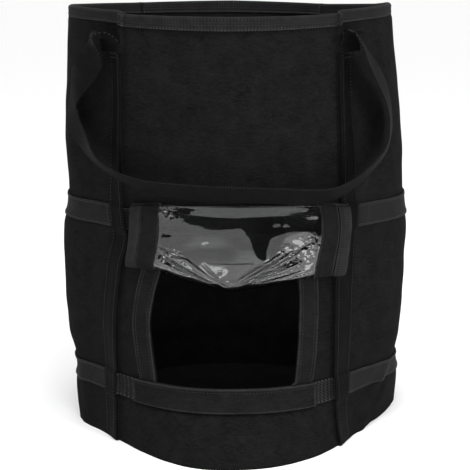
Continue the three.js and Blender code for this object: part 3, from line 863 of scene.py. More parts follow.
def fibre_group():
    """Matted fibres: clouds and threads of lighter and darker colour, and a low nap."""
    swirl_scale, swirl_push = 26.0, (0.03, 0.03, 0.03)
    streak_scale, streak_turn = (0.4, 0.4, 2.2), (0.1, 0.25, 0.0)
    cloud_share, wisp_share, fibre_share = 0.22, 0.53, 0.25
    darkest = 0.25

    def build(group, given, out):
        vector = given["Vector"]
        swirl = group.nodes.new("ShaderNodeTexNoise")
        swirl.inputs["Scale"].default_value = swirl_scale
        group.links.new(vector, swirl.inputs["Vector"])
        pushed = group.nodes.new("ShaderNodeVectorMath")
        pushed.operation = "MULTIPLY_ADD"
        group.links.new(swirl.outputs["Color"], pushed.inputs[0])
        pushed.inputs[1].default_value = swirl_push
        group.links.new(vector, pushed.inputs[2])
        streaks = group.nodes.new("ShaderNodeMapping")
        streaks.inputs["Scale"].default_value = streak_scale
        streaks.inputs["Rotation"].default_value = streak_turn
        group.links.new(pushed.outputs["Vector"], streaks.inputs["Vector"])
        clouds = noise_node(group, vector, scale=55.0, detail=3.0, roughness=0.6)
        wisps = noise_node(group, streaks.outputs["Vector"], scale=380.0, detail=5.0, roughness=0.75)
        fibres = noise_node(group, vector, scale=given["Fibre scale"], detail=3.0, roughness=0.65)
        mixed = plus(group, times(group, clouds, cloud_share), plus(
            group, times(group, wisps, wisp_share), times(group, fibres, fibre_share)))
        swing = times(group, math_node(group, "SUBTRACT", mixed, 0.5), times(
            group, given["Contrast"], 10.0))
        amount = math_node(group, "MAXIMUM", plus(group, swing, 1.0), darkest)
        group.links.new(tinted(group, given["Colour"], amount), out["Colour"])
        group.links.new(plus(group, times(group, fibres, 0.5), wisps), out["Height"])

    return group_once(
        "matted fibres",
        [("Vector", "NodeSocketVector", None), ("Colour", "NodeSocketColor", (0.01, 0.01, 0.01, 1)),
         ("Contrast", "NodeSocketFloat", 0.3), ("Fibre scale", "NodeSocketFloat", 700.0)],
        [("Colour", "NodeSocketColor"), ("Height", "NodeSocketFloat")], build)


def weave_group():
    """Woven webbing by a UV map in metres: humps of the crossing yarns and the gaps between them."""
    hump_share, rib_share = 0.7, 0.3
    wear_swing, wear_patches = 2.0, 1.2
    darkest = 0.2

    def build(group, given, out):
        split = group.nodes.new("ShaderNodeSeparateXYZ")
        group.links.new(given["Vector"], split.inputs["Vector"])

        def wave(value, rate):
            return math_node(group, "SINE", times(group, times(group, value, rate), 2 * math.pi))

        across = wave(split.outputs["X"], given["Yarns across"])
        along = wave(split.outputs["Y"], given["Yarns along"])
        humps = remap(group, times(group, across, along), -1.0, 1.0, 0.0, 1.0)
        ribs = remap(group, along, -1.0, 1.0, 0.0, 1.0)
        height = plus(group, times(group, humps, hump_share), times(group, ribs, rib_share))
        wear = noise_node(group, given["Vector"], scale=75.0, detail=3.0, roughness=0.65)
        swing = times(group, math_node(group, "SUBTRACT", height, 0.5), times(
            group, given["Contrast"], times(group, wear, wear_swing)))
        patchy = times(group, math_node(group, "SUBTRACT", wear, 0.5), wear_patches)
        amount = math_node(group, "MAXIMUM", plus(group, plus(group, swing, patchy), 1.0), darkest)
        group.links.new(tinted(group, given["Colour"], amount), out["Colour"])
        group.links.new(height, out["Height"])

    return group_once(
        "woven webbing",
        [("Vector", "NodeSocketVector", None), ("Colour", "NodeSocketColor", (0.02, 0.02, 0.02, 1)),
         ("Yarns across", "NodeSocketFloat", 500.0), ("Yarns along", "NodeSocketFloat", 600.0),
         ("Contrast", "NodeSocketFloat", 0.6)],
        [("Colour", "NodeSocketColor"), ("Height", "NodeSocketFloat")], build)


def wear_and_highlight_group():
    """Lighter edges where the piece's edge attribute says so: partly rubbed wear, partly painted highlight
    on edges that catch the light.
    """
    def build(group, given, out):
        amount = plus(group, times(group, given["Mask"], given["Gain"]), 1.0)
        group.links.new(tinted(group, given["Colour"], amount), out["Colour"])

    return group_once(
        "worn and highlit edges",
        [("Colour", "NodeSocketColor", (0.02, 0.02, 0.02, 1)), ("Mask", "NodeSocketFloat", 0.0),
         ("Gain", "NodeSocketFloat", 1.0)],
        [("Colour", "NodeSocketColor")], build)


def worn_and_highlit(tree, colour, gain):
    """Passes a colour through the edge group, which lightens edges with rubbed wear and painted highlight.
    """
    mask = tree.nodes.new("ShaderNodeAttribute")
    mask.attribute_name = "edge_wear_highlight_mask"
    node = tree.nodes.new("ShaderNodeGroup")
    node.node_tree = wear_and_highlight_group()
    tree.links.new(colour, node.inputs["Colour"])
    tree.links.new(mask.outputs["Fac"], node.inputs["Mask"])
    node.inputs["Gain"].default_value = gain
    return node.outputs["Colour"]


def place_group(tree, group, vector, colour, **values):
    node = tree.nodes.new("ShaderNodeGroup")
    node.node_tree = group
    tree.links.new(vector, node.inputs["Vector"])
    node.inputs["Colour"].default_value = colour
    for label, value in values.items():
        node.inputs[label.replace("_", " ").capitalize()].default_value = value
    return node


def bump(tree, shader, height, distance):
    node = tree.nodes.new("ShaderNodeBump")
    node.inputs["Distance"].default_value = distance
    node.inputs["Strength"].default_value = 1.0
    tree.links.new(height, node.inputs["Height"])
    tree.links.new(node.outputs["Normal"], shader.inputs["Normal"])


def fibre_material(name, colour, contrast, scale, depth, roughness=0.95, specular=0.03, edges=0.0):
    """Felt, loop pile and thread: matted fibres over the object's own coordinates."""
    def build(tree, shader):
        spot = tree.nodes.new("ShaderNodeTexCoord").outputs["Object"]
        fibres = place_group(tree, fibre_group(), spot, colour, contrast=contrast, fibre_scale=scale)
        tint = fibres.outputs["Colour"]
        # edges lightens the piece's edges: rubbed wear and painted highlight.
        tree.links.new(worn_and_highlit(tree, tint, edges) if edges else tint, shader.inputs["Base Color"])
        shader.inputs["Roughness"].default_value = roughness
        shader.inputs["Specular IOR Level"].default_value = specular
        bump(tree, shader, fibres.outputs["Height"], depth)

    return material_once(name, build)


def webbing_material(name, tint, shade, contrast, edges, across=3.0 * MM, along=2.8 * MM, depth=0.35 * MM):
    """Woven webbing over the piece's UV map, in a shade of the tint. Yarns are across by along."""
    def build(tree, shader):
        spot = tree.nodes.new("ShaderNodeUVMap")
        spot.uv_map = "UVMap"
        # The tint times shade; below 1, on the straps and handles, this is painted shade.
        weave = place_group(
            tree, weave_group(), spot.outputs["UV"], [value * shade for value in tint[:3]] + [1.0],
            yarns_across=1 / across, yarns_along=1 / along, contrast=contrast)
        # edges lightens the webbing's edges: rubbed wear and painted highlight.
        tree.links.new(worn_and_highlit(tree, weave.outputs["Colour"], edges), shader.inputs["Base Color"])
        shader.inputs["Roughness"].default_value = 0.7
        shader.inputs["Specular IOR Level"].default_value = 0.04
        bump(tree, shader, weave.outputs["Height"], depth)

    return material_once(name, build)


def felt_material():
    return fibre_material("black felt", colours().felt, contrast=0.42, scale=900.0, depth=0.5 * MM)


def tape_material():
    return fibre_material(
        "hook and loop tape", colours().tape, contrast=0.34, scale=1500.0, depth=0.5 * MM, edges=1.6)


def thread_material():
    return fibre_material(
        "sewing thread", colours().thread, contrast=0.3, scale=2500.0, depth=0.1 * MM,
        roughness=0.5, specular=0.5)


def band_material():
    return webbing_material("black webbing", colours().webbing, shade=1.0, contrast=2.6, edges=0.7)


# The straps: the bands' webbing darkened to about a quarter, painted shade for their faces turned from the
# light and the handles' shadows on them.
def shaded_strap_material():
    return webbing_material("strap webbing with painted shade", colours().webbing, shade=0.26, contrast=2.6, edges=0.5)


# The handles: the bands' webbing darkened, painted shade for their undersides, which face down.
def shaded_handle_material():
    return webbing_material("handle webbing with painted shade", colours().webbing, shade=0.42, contrast=2.2, edges=0.4)


def hem_material():
    return webbing_material(
        "hem webbing", colours().webbing, shade=1.35, contrast=1.2, edges=0.5, depth=0.3 * MM)


def binding_material():
    return webbing_material(
        "rim binding", colours().binding, shade=1.0, contrast=1.3, edges=0.8,
        across=2.6 * MM, along=3.2 * MM, depth=0.25 * MM)


def film_material(name="clear film", index=1.52, depth=0.12 * MM):
    """Clear soft film. Layers that lie close on each other in the fold hardly shine: index near 1."""
    def build(tree, shader):
        spot = tree.nodes.new("ShaderNodeTexCoord").outputs["Object"]
        shader.inputs["Base Color"].default_value = colours().film
        shader.inputs["Transmission Weight"].default_value = 1.0
        shader.inputs["IOR"].default_value = index
        haze = noise_node(tree, spot, scale=60.0, detail=3.0, roughness=0.6)
        haze = remap(tree, haze, low=0.3, high=0.7, start=0.01, end=0.04)
        tree.links.new(haze, shader.inputs["Roughness"])
        waves = noise_node(tree, spot, scale=110.0, detail=1.0, roughness=0.4)
        bump(tree, shader, waves, depth)

    return material_once(name, build)


class OBJECT_OT_grow_bag_felt(bpy.types.Operator):
    """Builds the felt wall with its window, and the felt base"""

    bl_idname = "object.grow_bag_felt"
    bl_label = "Felt wall and base"

    def execute(self, context):
        s = context.scene.grow_bag_sizes
        half = felt_half()
        crease = s.panel_width / 2
        low, high = s.lower_band + s.band_width, s.upper_band
        left = s.window_centre - s.window_width / 2
        right = s.window_centre + s.window_width / 2
        pitch, near, beyond = 3.3 * MM, 3 * MM, 1 * MM
        step = np.array([crease - near, crease - STEP_START, crease, crease + beyond])
        flank = spaced(crease + beyond, half - crease - beyond, pitch)
        back = spaced(half - crease + near, half, pitch)
        columns = joined(
            spaced(-crease + near, left, pitch), spaced(left, right, pitch),
            spaced(right, crease - near, pitch), step, -step, half - step, step - half,
            flank, -flank, back, -back)
        rows = joined(spaced(0.0, low, pitch), spaced(low, high, pitch), spaced(high, s.height, pitch))

        def place(row, felt):
            return felt_points(bowed(felt, row), row)[0]

        def cut(felt, row):
            return left < felt < right and low < row < high

        wall = thick_piece(cloth_mesh(columns, rows, place, cut), "felt_bag_wall", s.felt, side=-1.0)
        finish_piece(wall, felt_material(), "felt", "felt_wall")

        inset = s.felt + 2 * s.gap
        foot, _ = felt_points(columns, 0.0, -inset)
        above, _ = felt_points(columns, s.felt, -inset)
        foot_reach, above_reach = (np.hypot(edge[:, 0], edge[:, 1]) for edge in (foot, above))
        rim = foot * ((np.minimum(foot_reach, above_reach) - 2 * s.gap) / foot_reach)[:, None]
        nap, waves = 0.8 * MM, 16
        shares = spaced(0.0, 1.0, 0.04)

        def place_base(row, felt):
            points = rim * row
            points[:, 2] = [
                s.felt - nap * abs(noise.noise((x * waves, y * waves, 0))) for x, y, _ in points]
            return points

        base = thick_piece(
            cloth_mesh(columns, shares, place_base), "felt_bag_base", s.felt - nap, side=-1.0)
        finish_piece(base, felt_material(), "felt", "felt_base")
        return {"FINISHED"}


class OBJECT_OT_grow_bag_bands(bpy.types.Operator):
    """Builds the webbing bands and the upright straps"""

    bl_idname = "object.grow_bag_bands"
    bl_label = "Bands and straps"

    def execute(self, context):
        s = context.scene.grow_bag_sizes
        half = felt_half()
        crease = s.panel_width / 2
        for name, node, foot in (
            ("lower_webbing_band", "lower_band", s.lower_band),
            ("upper_webbing_band", "upper_band", s.upper_band),
        ):
            def place(row, felt):
                edge = bead((row - foot) / s.band_width, 0.04, 0.96, width=0.05)
                return felt_points(felt, row, s.gap + BAND_BEAD * edge)[0]

            levels = edged(foot, foot + s.band_width, EDGE_ZONE, 1.0 * MM, 3.3 * MM, 1.0 * MM)
            bm = cloth_mesh(
                around_bag(ROUND_PITCH), levels, place, borders=(0.0, WEBBING_WORN_HIGHLIT_EDGE), turned=True)
            band = thick_piece(bm, name, s.webbing, edge=WEBBING_ROUNDING)
            finish_piece(band, band_material(), "webbing", node)

        heights = spaced(s.strap_foot, s.strap_top, 2.4 * MM)
        inner = crease - STRAP_OVERHANG
        across = edged(inner, inner + s.webbing_width, EDGE_ZONE, 0.8 * MM, 2.2 * MM, 1.0 * MM)
        for name, node, way, back in (
            ("left_front_strap", "strap_front_left", -1, False),
            ("right_front_strap", "strap_front_right", 1, False),
            ("left_back_strap", "strap_back_left", -1, True),
            ("right_back_strap", "strap_back_right", 1, True),
        ):
            felt = np.sort(way * (half - across if back else across))

            def place(row, columns):
                kept = np.sign(columns) * np.maximum(np.abs(columns), crease)
                if back:
                    kept = np.sign(columns) * np.minimum(np.abs(columns), half - crease)
                points, out = felt_points(kept, row, s.gap + strap_lift(row))
                along = np.cross(out, (0.0, 0.0, -1.0))
                return points + along * (columns - kept)[:, None]

            bm = cloth_mesh(felt, heights, place, borders=(WEBBING_WORN_HIGHLIT_EDGE, 0.0))
            strap = thick_piece(bm, name, s.webbing, edge=WEBBING_ROUNDING)
            finish_piece(strap, shaded_strap_material(), "webbing", node)
        return {"FINISHED"}


def binding_foot(felt):
    """How far the binding's lower edge lies under the rim, by the place along the felt."""
    s = sizes()
    panel = s.panel_width / 2
    size = np.minimum(np.abs(felt), felt_half() - np.abs(felt))
    narrower_at_crease, narrower_at_side, blend = 1.3 * MM, 0.7 * MM, 30 * MM
    return s.binding_depth - narrower_at_crease * ease(size, 0, panel) - narrower_at_side * ease(
        size, panel, panel + blend)


class OBJECT_OT_grow_bag_binding(bpy.types.Operator):
    """Builds the tape that is folded over the rim"""

    bl_idname = "object.grow_bag_binding"
    bl_label = "Rim binding"

    def execute(self, context):
        s = context.scene.grow_bag_sizes
        out, inner = s.gap, -(s.felt + s.gap)
        rib, rib_places, rib_width = 0.5 * MM, (0.05, 0.36, 0.62, 0.86), 0.07
        turn_in, shoulder, crest = 0.1 * MM, 0.985, 1.03
        # The profile: how far off the felt's outer face, and the share of the height from foot to top.
        shares = np.linspace(0, 0.93, 14)
        ribs = rib * bead(shares, *rib_places, width=rib_width)
        outside = [(out + high, share) for high, share in zip(ribs, shares)]
        top = [
            (out - turn_in, shoulder), ((out * 2 + inner) / 3, crest), ((out + inner * 2) / 3, crest),
            (inner + turn_in, shoulder)]
        inside = [(inner - high, share) for high, share in zip(ribs[::-1], shares[::-1])]
        profile = outside + top + inside
        run = lengths_along(np.array(profile) * (1, s.binding_depth))

        def place(row, felt):
            off, share = profile[int(np.argmin(np.abs(run - row)))]
            points, _ = felt_points(felt, s.height, off)
            points[:, 2] += -binding_foot(felt) * (1 - share) + s.gap * share
            return points

        bm = cloth_mesh(around_bag(ROUND_PITCH), run, place, borders=(0.0, 1.8 * MM), turned=True)
        binding = thick_piece(bm, "rim_binding_tape", s.binding, edge=TAPE_ROUNDING)
        finish_piece(binding, binding_material(), "binding", "rim_binding")
        return {"FINISHED"}


class OBJECT_OT_grow_bag_window(bpy.types.Operator):
    """Builds the hook-and-loop tapes on the window's edges"""

    bl_idname = "object.grow_bag_window"
    bl_label = "Window tapes"

    def execute(self, context):
        s = context.scene.grow_bag_sizes
        low, high = s.lower_band + s.band_width, s.upper_band
        for side, way in (("left", -1), ("right", 1)):
            edge = s.window_centre + way * s.window_width / 2
            columns = np.sort(spaced(edge, edge + way * s.tape_width, 0.8 * MM))
            share = np.abs(columns - edge) / s.tape_width
            raised = TAPE_RIB * bead(share, *TAPE_RIB_PLACES, width=TAPE_RIB_WIDTH)

            def place(row, felt):
                return felt_points(bowed(felt, row), row, s.gap + raised)[0]

            bm = cloth_mesh(
                columns, spaced(low + s.gap, high - s.gap, 2.0 * MM), place, borders=(TAPE_WORN_HIGHLIT_EDGE, 0.0))
            tape = thick_piece(bm, f"{side}_window_tape", s.hook_tape, edge=TAPE_ROUNDING)
            finish_piece(tape, tape_material(), "hook_tape", f"window_tape_{side}")

        reach = s.window_width / 2 + s.tape_width + s.foot_tape_reach
        over = 0.5 * MM
        foot, height = s.lower_band, s.band_width + over
        over_band = s.webbing + 2 * s.gap + BAND_BEAD

        def place_foot(row, felt):
            edge = float(bead((row - foot) / height, *TAPE_RIB_PLACES, width=TAPE_RIB_WIDTH))
            return felt_points(felt, row, over_band + TAPE_RIB * edge)[0]

        bm = cloth_mesh(
            spaced(s.window_centre - reach, s.window_centre + reach, 2.4 * MM),
            spaced(foot - over, foot + height - over, 0.9 * MM), place_foot,
            borders=(1.2 * MM, TAPE_WORN_HIGHLIT_EDGE))
        tape = thick_piece(bm, "foot_window_tape", s.hook_tape, edge=TAPE_ROUNDING)
        finish_piece(tape, tape_material(), "hook_tape", "window_tape_foot")
        return {"FINISHED"}


def fold_profile(pitch, front_pitch):
    """The folded flap's profile as shares of its thickness and height.

    The steps are front_pitch long over the front face and pitch long elsewhere. The length run at each
    step comes with it, and whether the step lies in the front face.
    """
    s = sizes()
    rows = curve_rows(ROLL, ROLL_STEPS)
    run = lengths_along(rows * (s.roll_stack + s.roll_bulge / 2, s.roll_height + s.film_sag / 2))
    start, end = (run[ROLL_STEPS * row] for row in ROLL_FRONT)
    wanted = joined(spaced(0, start, pitch), spaced(start, end, front_pitch), spaced(end, run[-1], pitch))
    profile = np.stack(
        [np.interp(wanted, run, column(rows, ROLL_COLUMNS, name)) for name in ROLL_COLUMNS], axis=1)
    return profile, wanted, (wanted > start) & (wanted < end)


def crease_rise(row, across, height):
    """How far one crease stands out at a spot. It widens and rises to its far end and fades there."""
    start = np.array([row["across"], row["up"]], float)
    way = np.array([row["to_across"], row["to_up"]], float) - start
    length = np.linalg.norm(way)
    way /= length
    gap = np.array([across, height]) - start
    share = min(max(float(gap @ way) / length, 0.0), 1.0)
    aside = float(np.linalg.norm(gap - way * share * length))
    narrow, low, fades_from, faded = 0.4, 0.5, 0.7, 0.8
    wide = row["wide"] * (narrow + (1 - narrow) * share)
    fade = 1 - max(0.0, (share - fades_from) / (1 - fades_from)) * faded
    return row["rise"] * fade * (low + (1 - low) * share) * max(0.0, 1 - aside / wide)


def crumple(across, height):
    """Creases, bulges and crumples of the film's front face, by millimetres across and up."""
    off = sum(crease_rise(named(CREASE_COLUMNS, row), across, height) for row in CREASES)
    off += sum(lump(named(DENT_COLUMNS, row), across, height) for row in BULGES)
    least, layer, level = 0.02, 3.0, 0.3
    for values in CRUMPLES:
        row = named(CRUMPLE_COLUMNS, values)
        away = (across - row["across"]) ** 2 + (height - row["up"]) ** 2
        near = math.exp(-away / row["reach"] ** 2)
        if near > least:
            nearest, second = noise.voronoi((across / CRUMPLE_GRAIN, height / CRUMPLE_GRAIN, layer))[0][:2]
            off += row["rise"] * near * (second - nearest - level)
    return off * MM


def flap_points(columns, profile, off=0.0, creased=None):
    """The folded flap's points for places across it: an array by profile step and column.

    creased says which of the steps carry the film's creases.
    """
    s = sizes()
    columns = np.asarray(columns, float)
    film = np.clip((columns - s.flap_centre) / (s.film_width / 2), -1, 1)
    swell = np.array([named(FOLD_COLUMNS, row_at(FOLDS, share))["swell"] for share in film])
    drop = np.interp(film, *(column(FOLDS, FOLD_COLUMNS, name) for name in ("across", "drop")))
    crown = s.flap_crown * (1 - (columns / (s.panel_width / 2)) ** 2)
    top = s.flap_top - s.roll_drop + crown
    low = s.flap_top - s.roll_drop - s.roll_height - s.film_sag * drop
    stack = s.roll_stack + s.roll_bulge * swell
    tops = np.tile(top, (len(profile), 1))
    if creased is not None:
        tops[0] = s.flap_top + crown
    height = low + (tops - low) * profile[:, 1:]
    out = stack * profile[:, :1]
    run, climb = np.gradient(out, axis=0), np.gradient(height, axis=0)
    length = np.hypot(run, climb)
    push = np.zeros((len(profile), len(columns))) + off
    if creased is not None:
        # The creases fade in by how far out the fold has come.
        starts, full = 0.3, 0.8
        for k in np.nonzero(creased)[0]:
            push[k] += ease(profile[k, 0], starts, full) * np.array([
                crumple((a - s.flap_centre) / MM, h / MM) for a, h in zip(columns, height[k])])
    height = height + push * run / length
    out = out - push * climb / length
    levels = np.arange(math.floor(height.min() / MM) - 1, math.ceil(height.max() / MM) + 2) * MM
    feet, ways = zip(*(felt_points(columns, level, tucked=False) for level in levels))
    feet, ways = np.array(feet), np.array(ways)
    crease, ramp_end = s.panel_width / 2, 3 * MM
    over_strap = (s.tuck + s.webbing + s.gap) * ease(
        np.abs(columns), crease - s.webbing_width / 2, crease - ramp_end)
    clear = 2 * s.gap + s.webbing + s.hook_tape / 2 + TAPE_RIB + over_strap
    spots = (height - levels[0]) / MM
    index = np.clip(spots.astype(int), 0, len(levels) - 2)
    share = (spots - index)[..., None]
    each = np.arange(len(columns))
    base = feet[index, each] * (1 - share) + feet[index + 1, each] * share
    way = ways[index, each]
    return base + way * (clear + out)[..., None]


class OBJECT_OT_grow_bag_flap(bpy.types.Operator):
    """Builds the folded clear flap with its tapes and hems"""

    bl_idname = "object.grow_bag_flap"
    bl_label = "Folded flap"

    def execute(self, context):
        s = context.scene.grow_bag_sizes
        half = s.film_width / 2

        def strip(name, node, start, end, pitch, thickness, material, slot, ribs=(), steps=(2.0, 2.0)):
            columns = spaced(start, end, pitch)
            profile, run, front = fold_profile(steps[0] * MM, steps[1] * MM)
            share = (columns - start) / (end - start)
            # The tapes' and hems' edges are lightened over this width: rubbed wear and painted highlight.
            rib, worn_highlit_edge = 0.6 * MM, 1.5 * MM
            raised = rib * bead(share, *ribs) if ribs else 0.0
            points = flap_points(columns, profile, raised, creased=None if ribs else front)[::-1]
            order = run[-1] - run[::-1]

            def place(row, across):
                return points[int(np.argmin(np.abs(order - row)))]

            bm = cloth_mesh(columns, order, place, borders=(worn_highlit_edge if ribs else 0.0, 0.0))
            piece = thick_piece(bm, name, thickness, side=0.0)
            finish_piece(piece, material, slot, node)
            along = np.linalg.norm(np.diff(points, axis=0), axis=2).sum(axis=0).mean()
            wide = np.linalg.norm(np.diff(points, axis=1), axis=2).sum(axis=1).mean()
            piece_front = run[-1] - run[front]
            return piece, (float(wide), float(along)), (piece_front.min(), piece_front.max())

        film, flat, (front_start, front_end) = strip(
            "clear_flap_film", "flap_film", s.flap_centre - half, s.flap_centre + half,
            0.75 * MM, s.film, film_material(), "clear_film", steps=(3.0, 0.6))
        film.data.materials.append(film_material("film in the fold", index=1.05, depth=0.05 * MM))
        uv = film.data.uv_layers[0].data
        for polygon in film.data.polygons:
            level = sum(uv[i].uv[1] for i in polygon.loop_indices) / len(polygon.loop_indices)
            polygon.material_index = 0 if front_start < level < front_end else 1
        hem_start = half + s.tape_width + 2 * s.gap
        for side, way in (("left", -1), ("right", 1)):
            ends = sorted(s.flap_centre + way * at for at in (half + s.gap, half + s.tape_width))
            strip(f"{side}_flap_tape", f"flap_hook_{side}", *ends, 0.9 * MM, s.hook_tape,
                  tape_material(), "hook_tape", ribs=(0.06, 0.94))
            ends = sorted(
                s.flap_centre + way * at for at in (hem_start, hem_start + s.flap_hem_width - 2 * s.gap))
            strip(f"{side}_flap_hem", f"flap_hem_{side}", *ends, 0.8 * MM, s.hook_tape,
                  hem_material(), "webbing", ribs=(0.1, 0.5, 0.9))
        return {"FINISHED"}


def handle_line(back):
    """A handle's middle line and the direction of its width, from one strap's top to the other's."""
    s = sizes()
    half = felt_half()
    middle = s.panel_width / 2 + s.webbing_width / 2
    centre = math.pi if back else 0.0
    outline = outline_at(s.strap_top)
    reach = {}
    for way in (-1, 1):
        side = -way if back else way
        felt = side * (half - middle) if back else side * middle
        turn = np.interp(outline.placed([felt])[0], outline.run, outline.turn)
        reach[way] = abs(abs(turn) - centre)
    rest = s.flap_top + s.handle_rise
    clear = s.tuck + s.gap + s.webbing / 2
    line, widths = [], []
    for values in curve_rows(HANDLE, HANDLE_STEPS):
        row = named(HANDLE_COLUMNS, values)
        angle = centre + row["around"] * reach[-1 if row["around"] < 0 else 1]
        angle = (angle + math.pi) % (2 * math.pi) - math.pi
        height = rest + (s.strap_top + s.handle_clear - rest) * row["rise"]
        held = min(height, s.height)
        outline = outline_at(round(held, 4))
        run = np.interp(angle, outline.turn, outline.run)
        x, y, out_x, out_y = (
            np.interp(run, outline.run, a) for a in (outline.x, outline.y, outline.out_x, outline.out_y))
        out = np.array([out_x, out_y, 0.0])
        dip = HANDLE_DIP * max(math.cos(angle), 0.0) * (held / s.height) ** 2
        along = np.array([-out[1], out[0], 0.0])
        turn, flare = math.radians(row["turn"]), math.radians(row["flare"])
        width = (along * math.cos(turn) + np.array([0, 0, 1.0]) * math.sin(turn)) * math.cos(flare)
        widths.append(width + out * math.sin(flare))
        off = clear + row["off"] * s.webbing_width
        line.append(np.array([x, y, height - dip]) + out * off)
    return np.array(line), np.array(widths)


class OBJECT_OT_grow_bag_handles(bpy.types.Operator):
    """Builds the two drooping handles"""

    bl_idname = "object.grow_bag_handles"
    bl_label = "Handles"

    def execute(self, context):
        s = context.scene.grow_bag_sizes
        for name, node, back in (
            ("front_handle", "handle_front", False), ("back_handle", "handle_back", True),
        ):
            line, widths = handle_line(back)
            run = np.gradient(line, axis=0)
            run /= np.linalg.norm(run, axis=1)[:, None]
            sideways = widths - run * (widths * run).sum(axis=1)[:, None]
            sideways /= np.linalg.norm(sideways, axis=1)[:, None]
            lengths = lengths_along(line)
            edge = s.webbing_width / 2
            across = edged(-edge, edge, 2.4 * MM, 0.8 * MM, 2.6 * MM, 0.8 * MM)

            def place(row, columns):
                k = int(np.argmin(np.abs(lengths - row)))
                return line[k] + sideways[k] * np.asarray(columns)[:, None]

            bm = cloth_mesh(across, lengths, place, borders=(WEBBING_WORN_HIGHLIT_EDGE, 0.0))
            handle = thick_piece(bm, name, s.webbing, side=0.0, edge=WEBBING_ROUNDING)
            finish_piece(handle, shaded_handle_material(), "webbing", node)
        return {"FINISHED"}


class OBJECT_OT_grow_bag_stitches(bpy.types.Operator):
    """Sews the rows of stitches along the bands, straps, tapes and rim"""

    bl_idname = "object.grow_bag_stitches"
    bl_label = "Stitches"

    def execute(self, context):
        s = context.scene.grow_bag_sizes
        half = felt_half()
        crease = s.panel_width / 2
        round_one = bmesh.new()
        bmesh.ops.create_icosphere(round_one, subdivisions=1, radius=1.0)
        template = bpy.data.meshes.new("one_stitch")
        round_one.to_mesh(template)
        round_one.free()
        bm = bmesh.new()
        pitch, long, thick = 3.6 * MM, 2.5 * MM, 0.8 * MM
        shortest_step, longest_step = 1 * MM, 9 * MM

        def stitch(start, end, size=1.0):
            start, end = Vector(start), Vector(end)
            turn = (end - start).to_track_quat("X", "Z").to_matrix().to_4x4()
            shape = Matrix.Diagonal((long / 2 * size, thick / 2 * size, thick / 2 * size, 1))
            placed = Matrix.Translation((start + end) / 2) @ turn @ shape
            template.transform(placed)
            bm.from_mesh(template)
            template.transform(placed.inverted())

        def sew(points):
            for start, end in zip(points[:-1], points[1:]):
                if shortest_step < (Vector(end) - Vector(start)).length < longest_step:
                    stitch(start, end)

        inset = 2.0 * MM
        top = s.gap + s.webbing
        over_bead = 0.2 * MM
        places = spaced(-half, half, pitch)
        for foot in (s.lower_band, s.upper_band):
            for height in (foot + inset, foot + s.band_width - inset):
                sew(felt_points(places, height, top + over_bead)[0])
        # On the bag the upper band's ends are folded under and sewn beside the front straps; here the band
        # runs on unbroken and only the rows of stitches are sewn.
        past_left, past_right = 3 * MM, 12 * MM
        for end in (-crease - s.webbing_width - past_left, crease + s.webbing_width + past_right):
            levels = spaced(s.upper_band + inset, s.upper_band + s.band_width - inset, pitch)
            sew([felt_points([end], height, top + over_bead)[0][0] for height in levels])
        bar_levels, bar_height, bar_stitches = (9 * MM, 5 * MM), 3 * MM, 9
        for back in (False, True):
            for way in (-1, 1):
                for inside in (inset, s.webbing_width - inset - STRAP_OVERHANG):
                    distance = crease + inside
                    felt = way * (half - distance if back else distance)
                    levels = spaced(s.strap_foot + 3 * MM, s.strap_top - 2 * MM, pitch)
                    sew([felt_points([felt], h, top + strap_lift(h))[0][0] for h in levels])
                # A bar of close stitches holds each handle at its strap's top.
                for level in (s.strap_top - down for down in bar_levels):
                    for inside in np.linspace(inset, s.webbing_width - 5 * MM, bar_stitches):
                        felt = way * (half - crease - inside if back else crease + inside)
                        foot = felt_points([felt], level, top)[0][0]
                        tip = felt_points([felt], level + bar_height, top)[0][0]
                        stitch(foot, tip)
        seam, _ = felt_points(places, s.height, s.gap + s.binding + 0.3 * MM)
        seam[:, 2] += -binding_foot(places) + 2.3 * MM
        sew(seam)
        levels = spaced(s.lower_band + s.band_width + 3 * MM, s.upper_band - 3 * MM, pitch)
        for side in (-1, 1):
            edge = s.window_centre + side * s.window_width / 2
            for share in (0.17, 0.83):
                felt = edge + side * share * s.tape_width
                sew([felt_points(bowed([felt], h), h, s.gap + s.hook_tape)[0][0] for h in levels])
        reach = s.window_width / 2 + s.tape_width + s.foot_tape_reach - 2 * MM
        across = spaced(s.window_centre - reach, s.window_centre + reach, pitch)
        tape_inset = 3.4 * MM
        for height in (s.lower_band + tape_inset, s.lower_band + s.band_width - tape_inset):
            sew(felt_points(across, height, s.webbing + 2 * s.gap + s.hook_tape + BAND_BEAD)[0])
        # Short bars tie the binding at the panel's corners and at the seam in the middle of the back.
        for place in (-crease - 1 * MM, crease + 1 * MM, half - 2 * MM):
            for level in np.linspace(0.15, 1.0, 6):
                bar = felt_points([place], s.height, s.gap + s.binding + 0.5 * MM)[0][0]
                bar[2] -= s.binding_depth * (1 - level)
                stitch(bar - (1 * MM, 0, 0), bar + (1 * MM, 0, 0), 1.3)
        stitches = object_from(bm, "seam_stitches")
        finish_piece(stitches, thread_material(), "webbing")
        return {"FINISHED"}


def plain_material(name, colour, roughness, specular):
    def build(_, shader):
        shader.inputs["Base Color"].default_value = colour
        shader.inputs["Roughness"].default_value = roughness
        shader.inputs["Specular IOR Level"].default_value = specular

    return material_once(name, build)


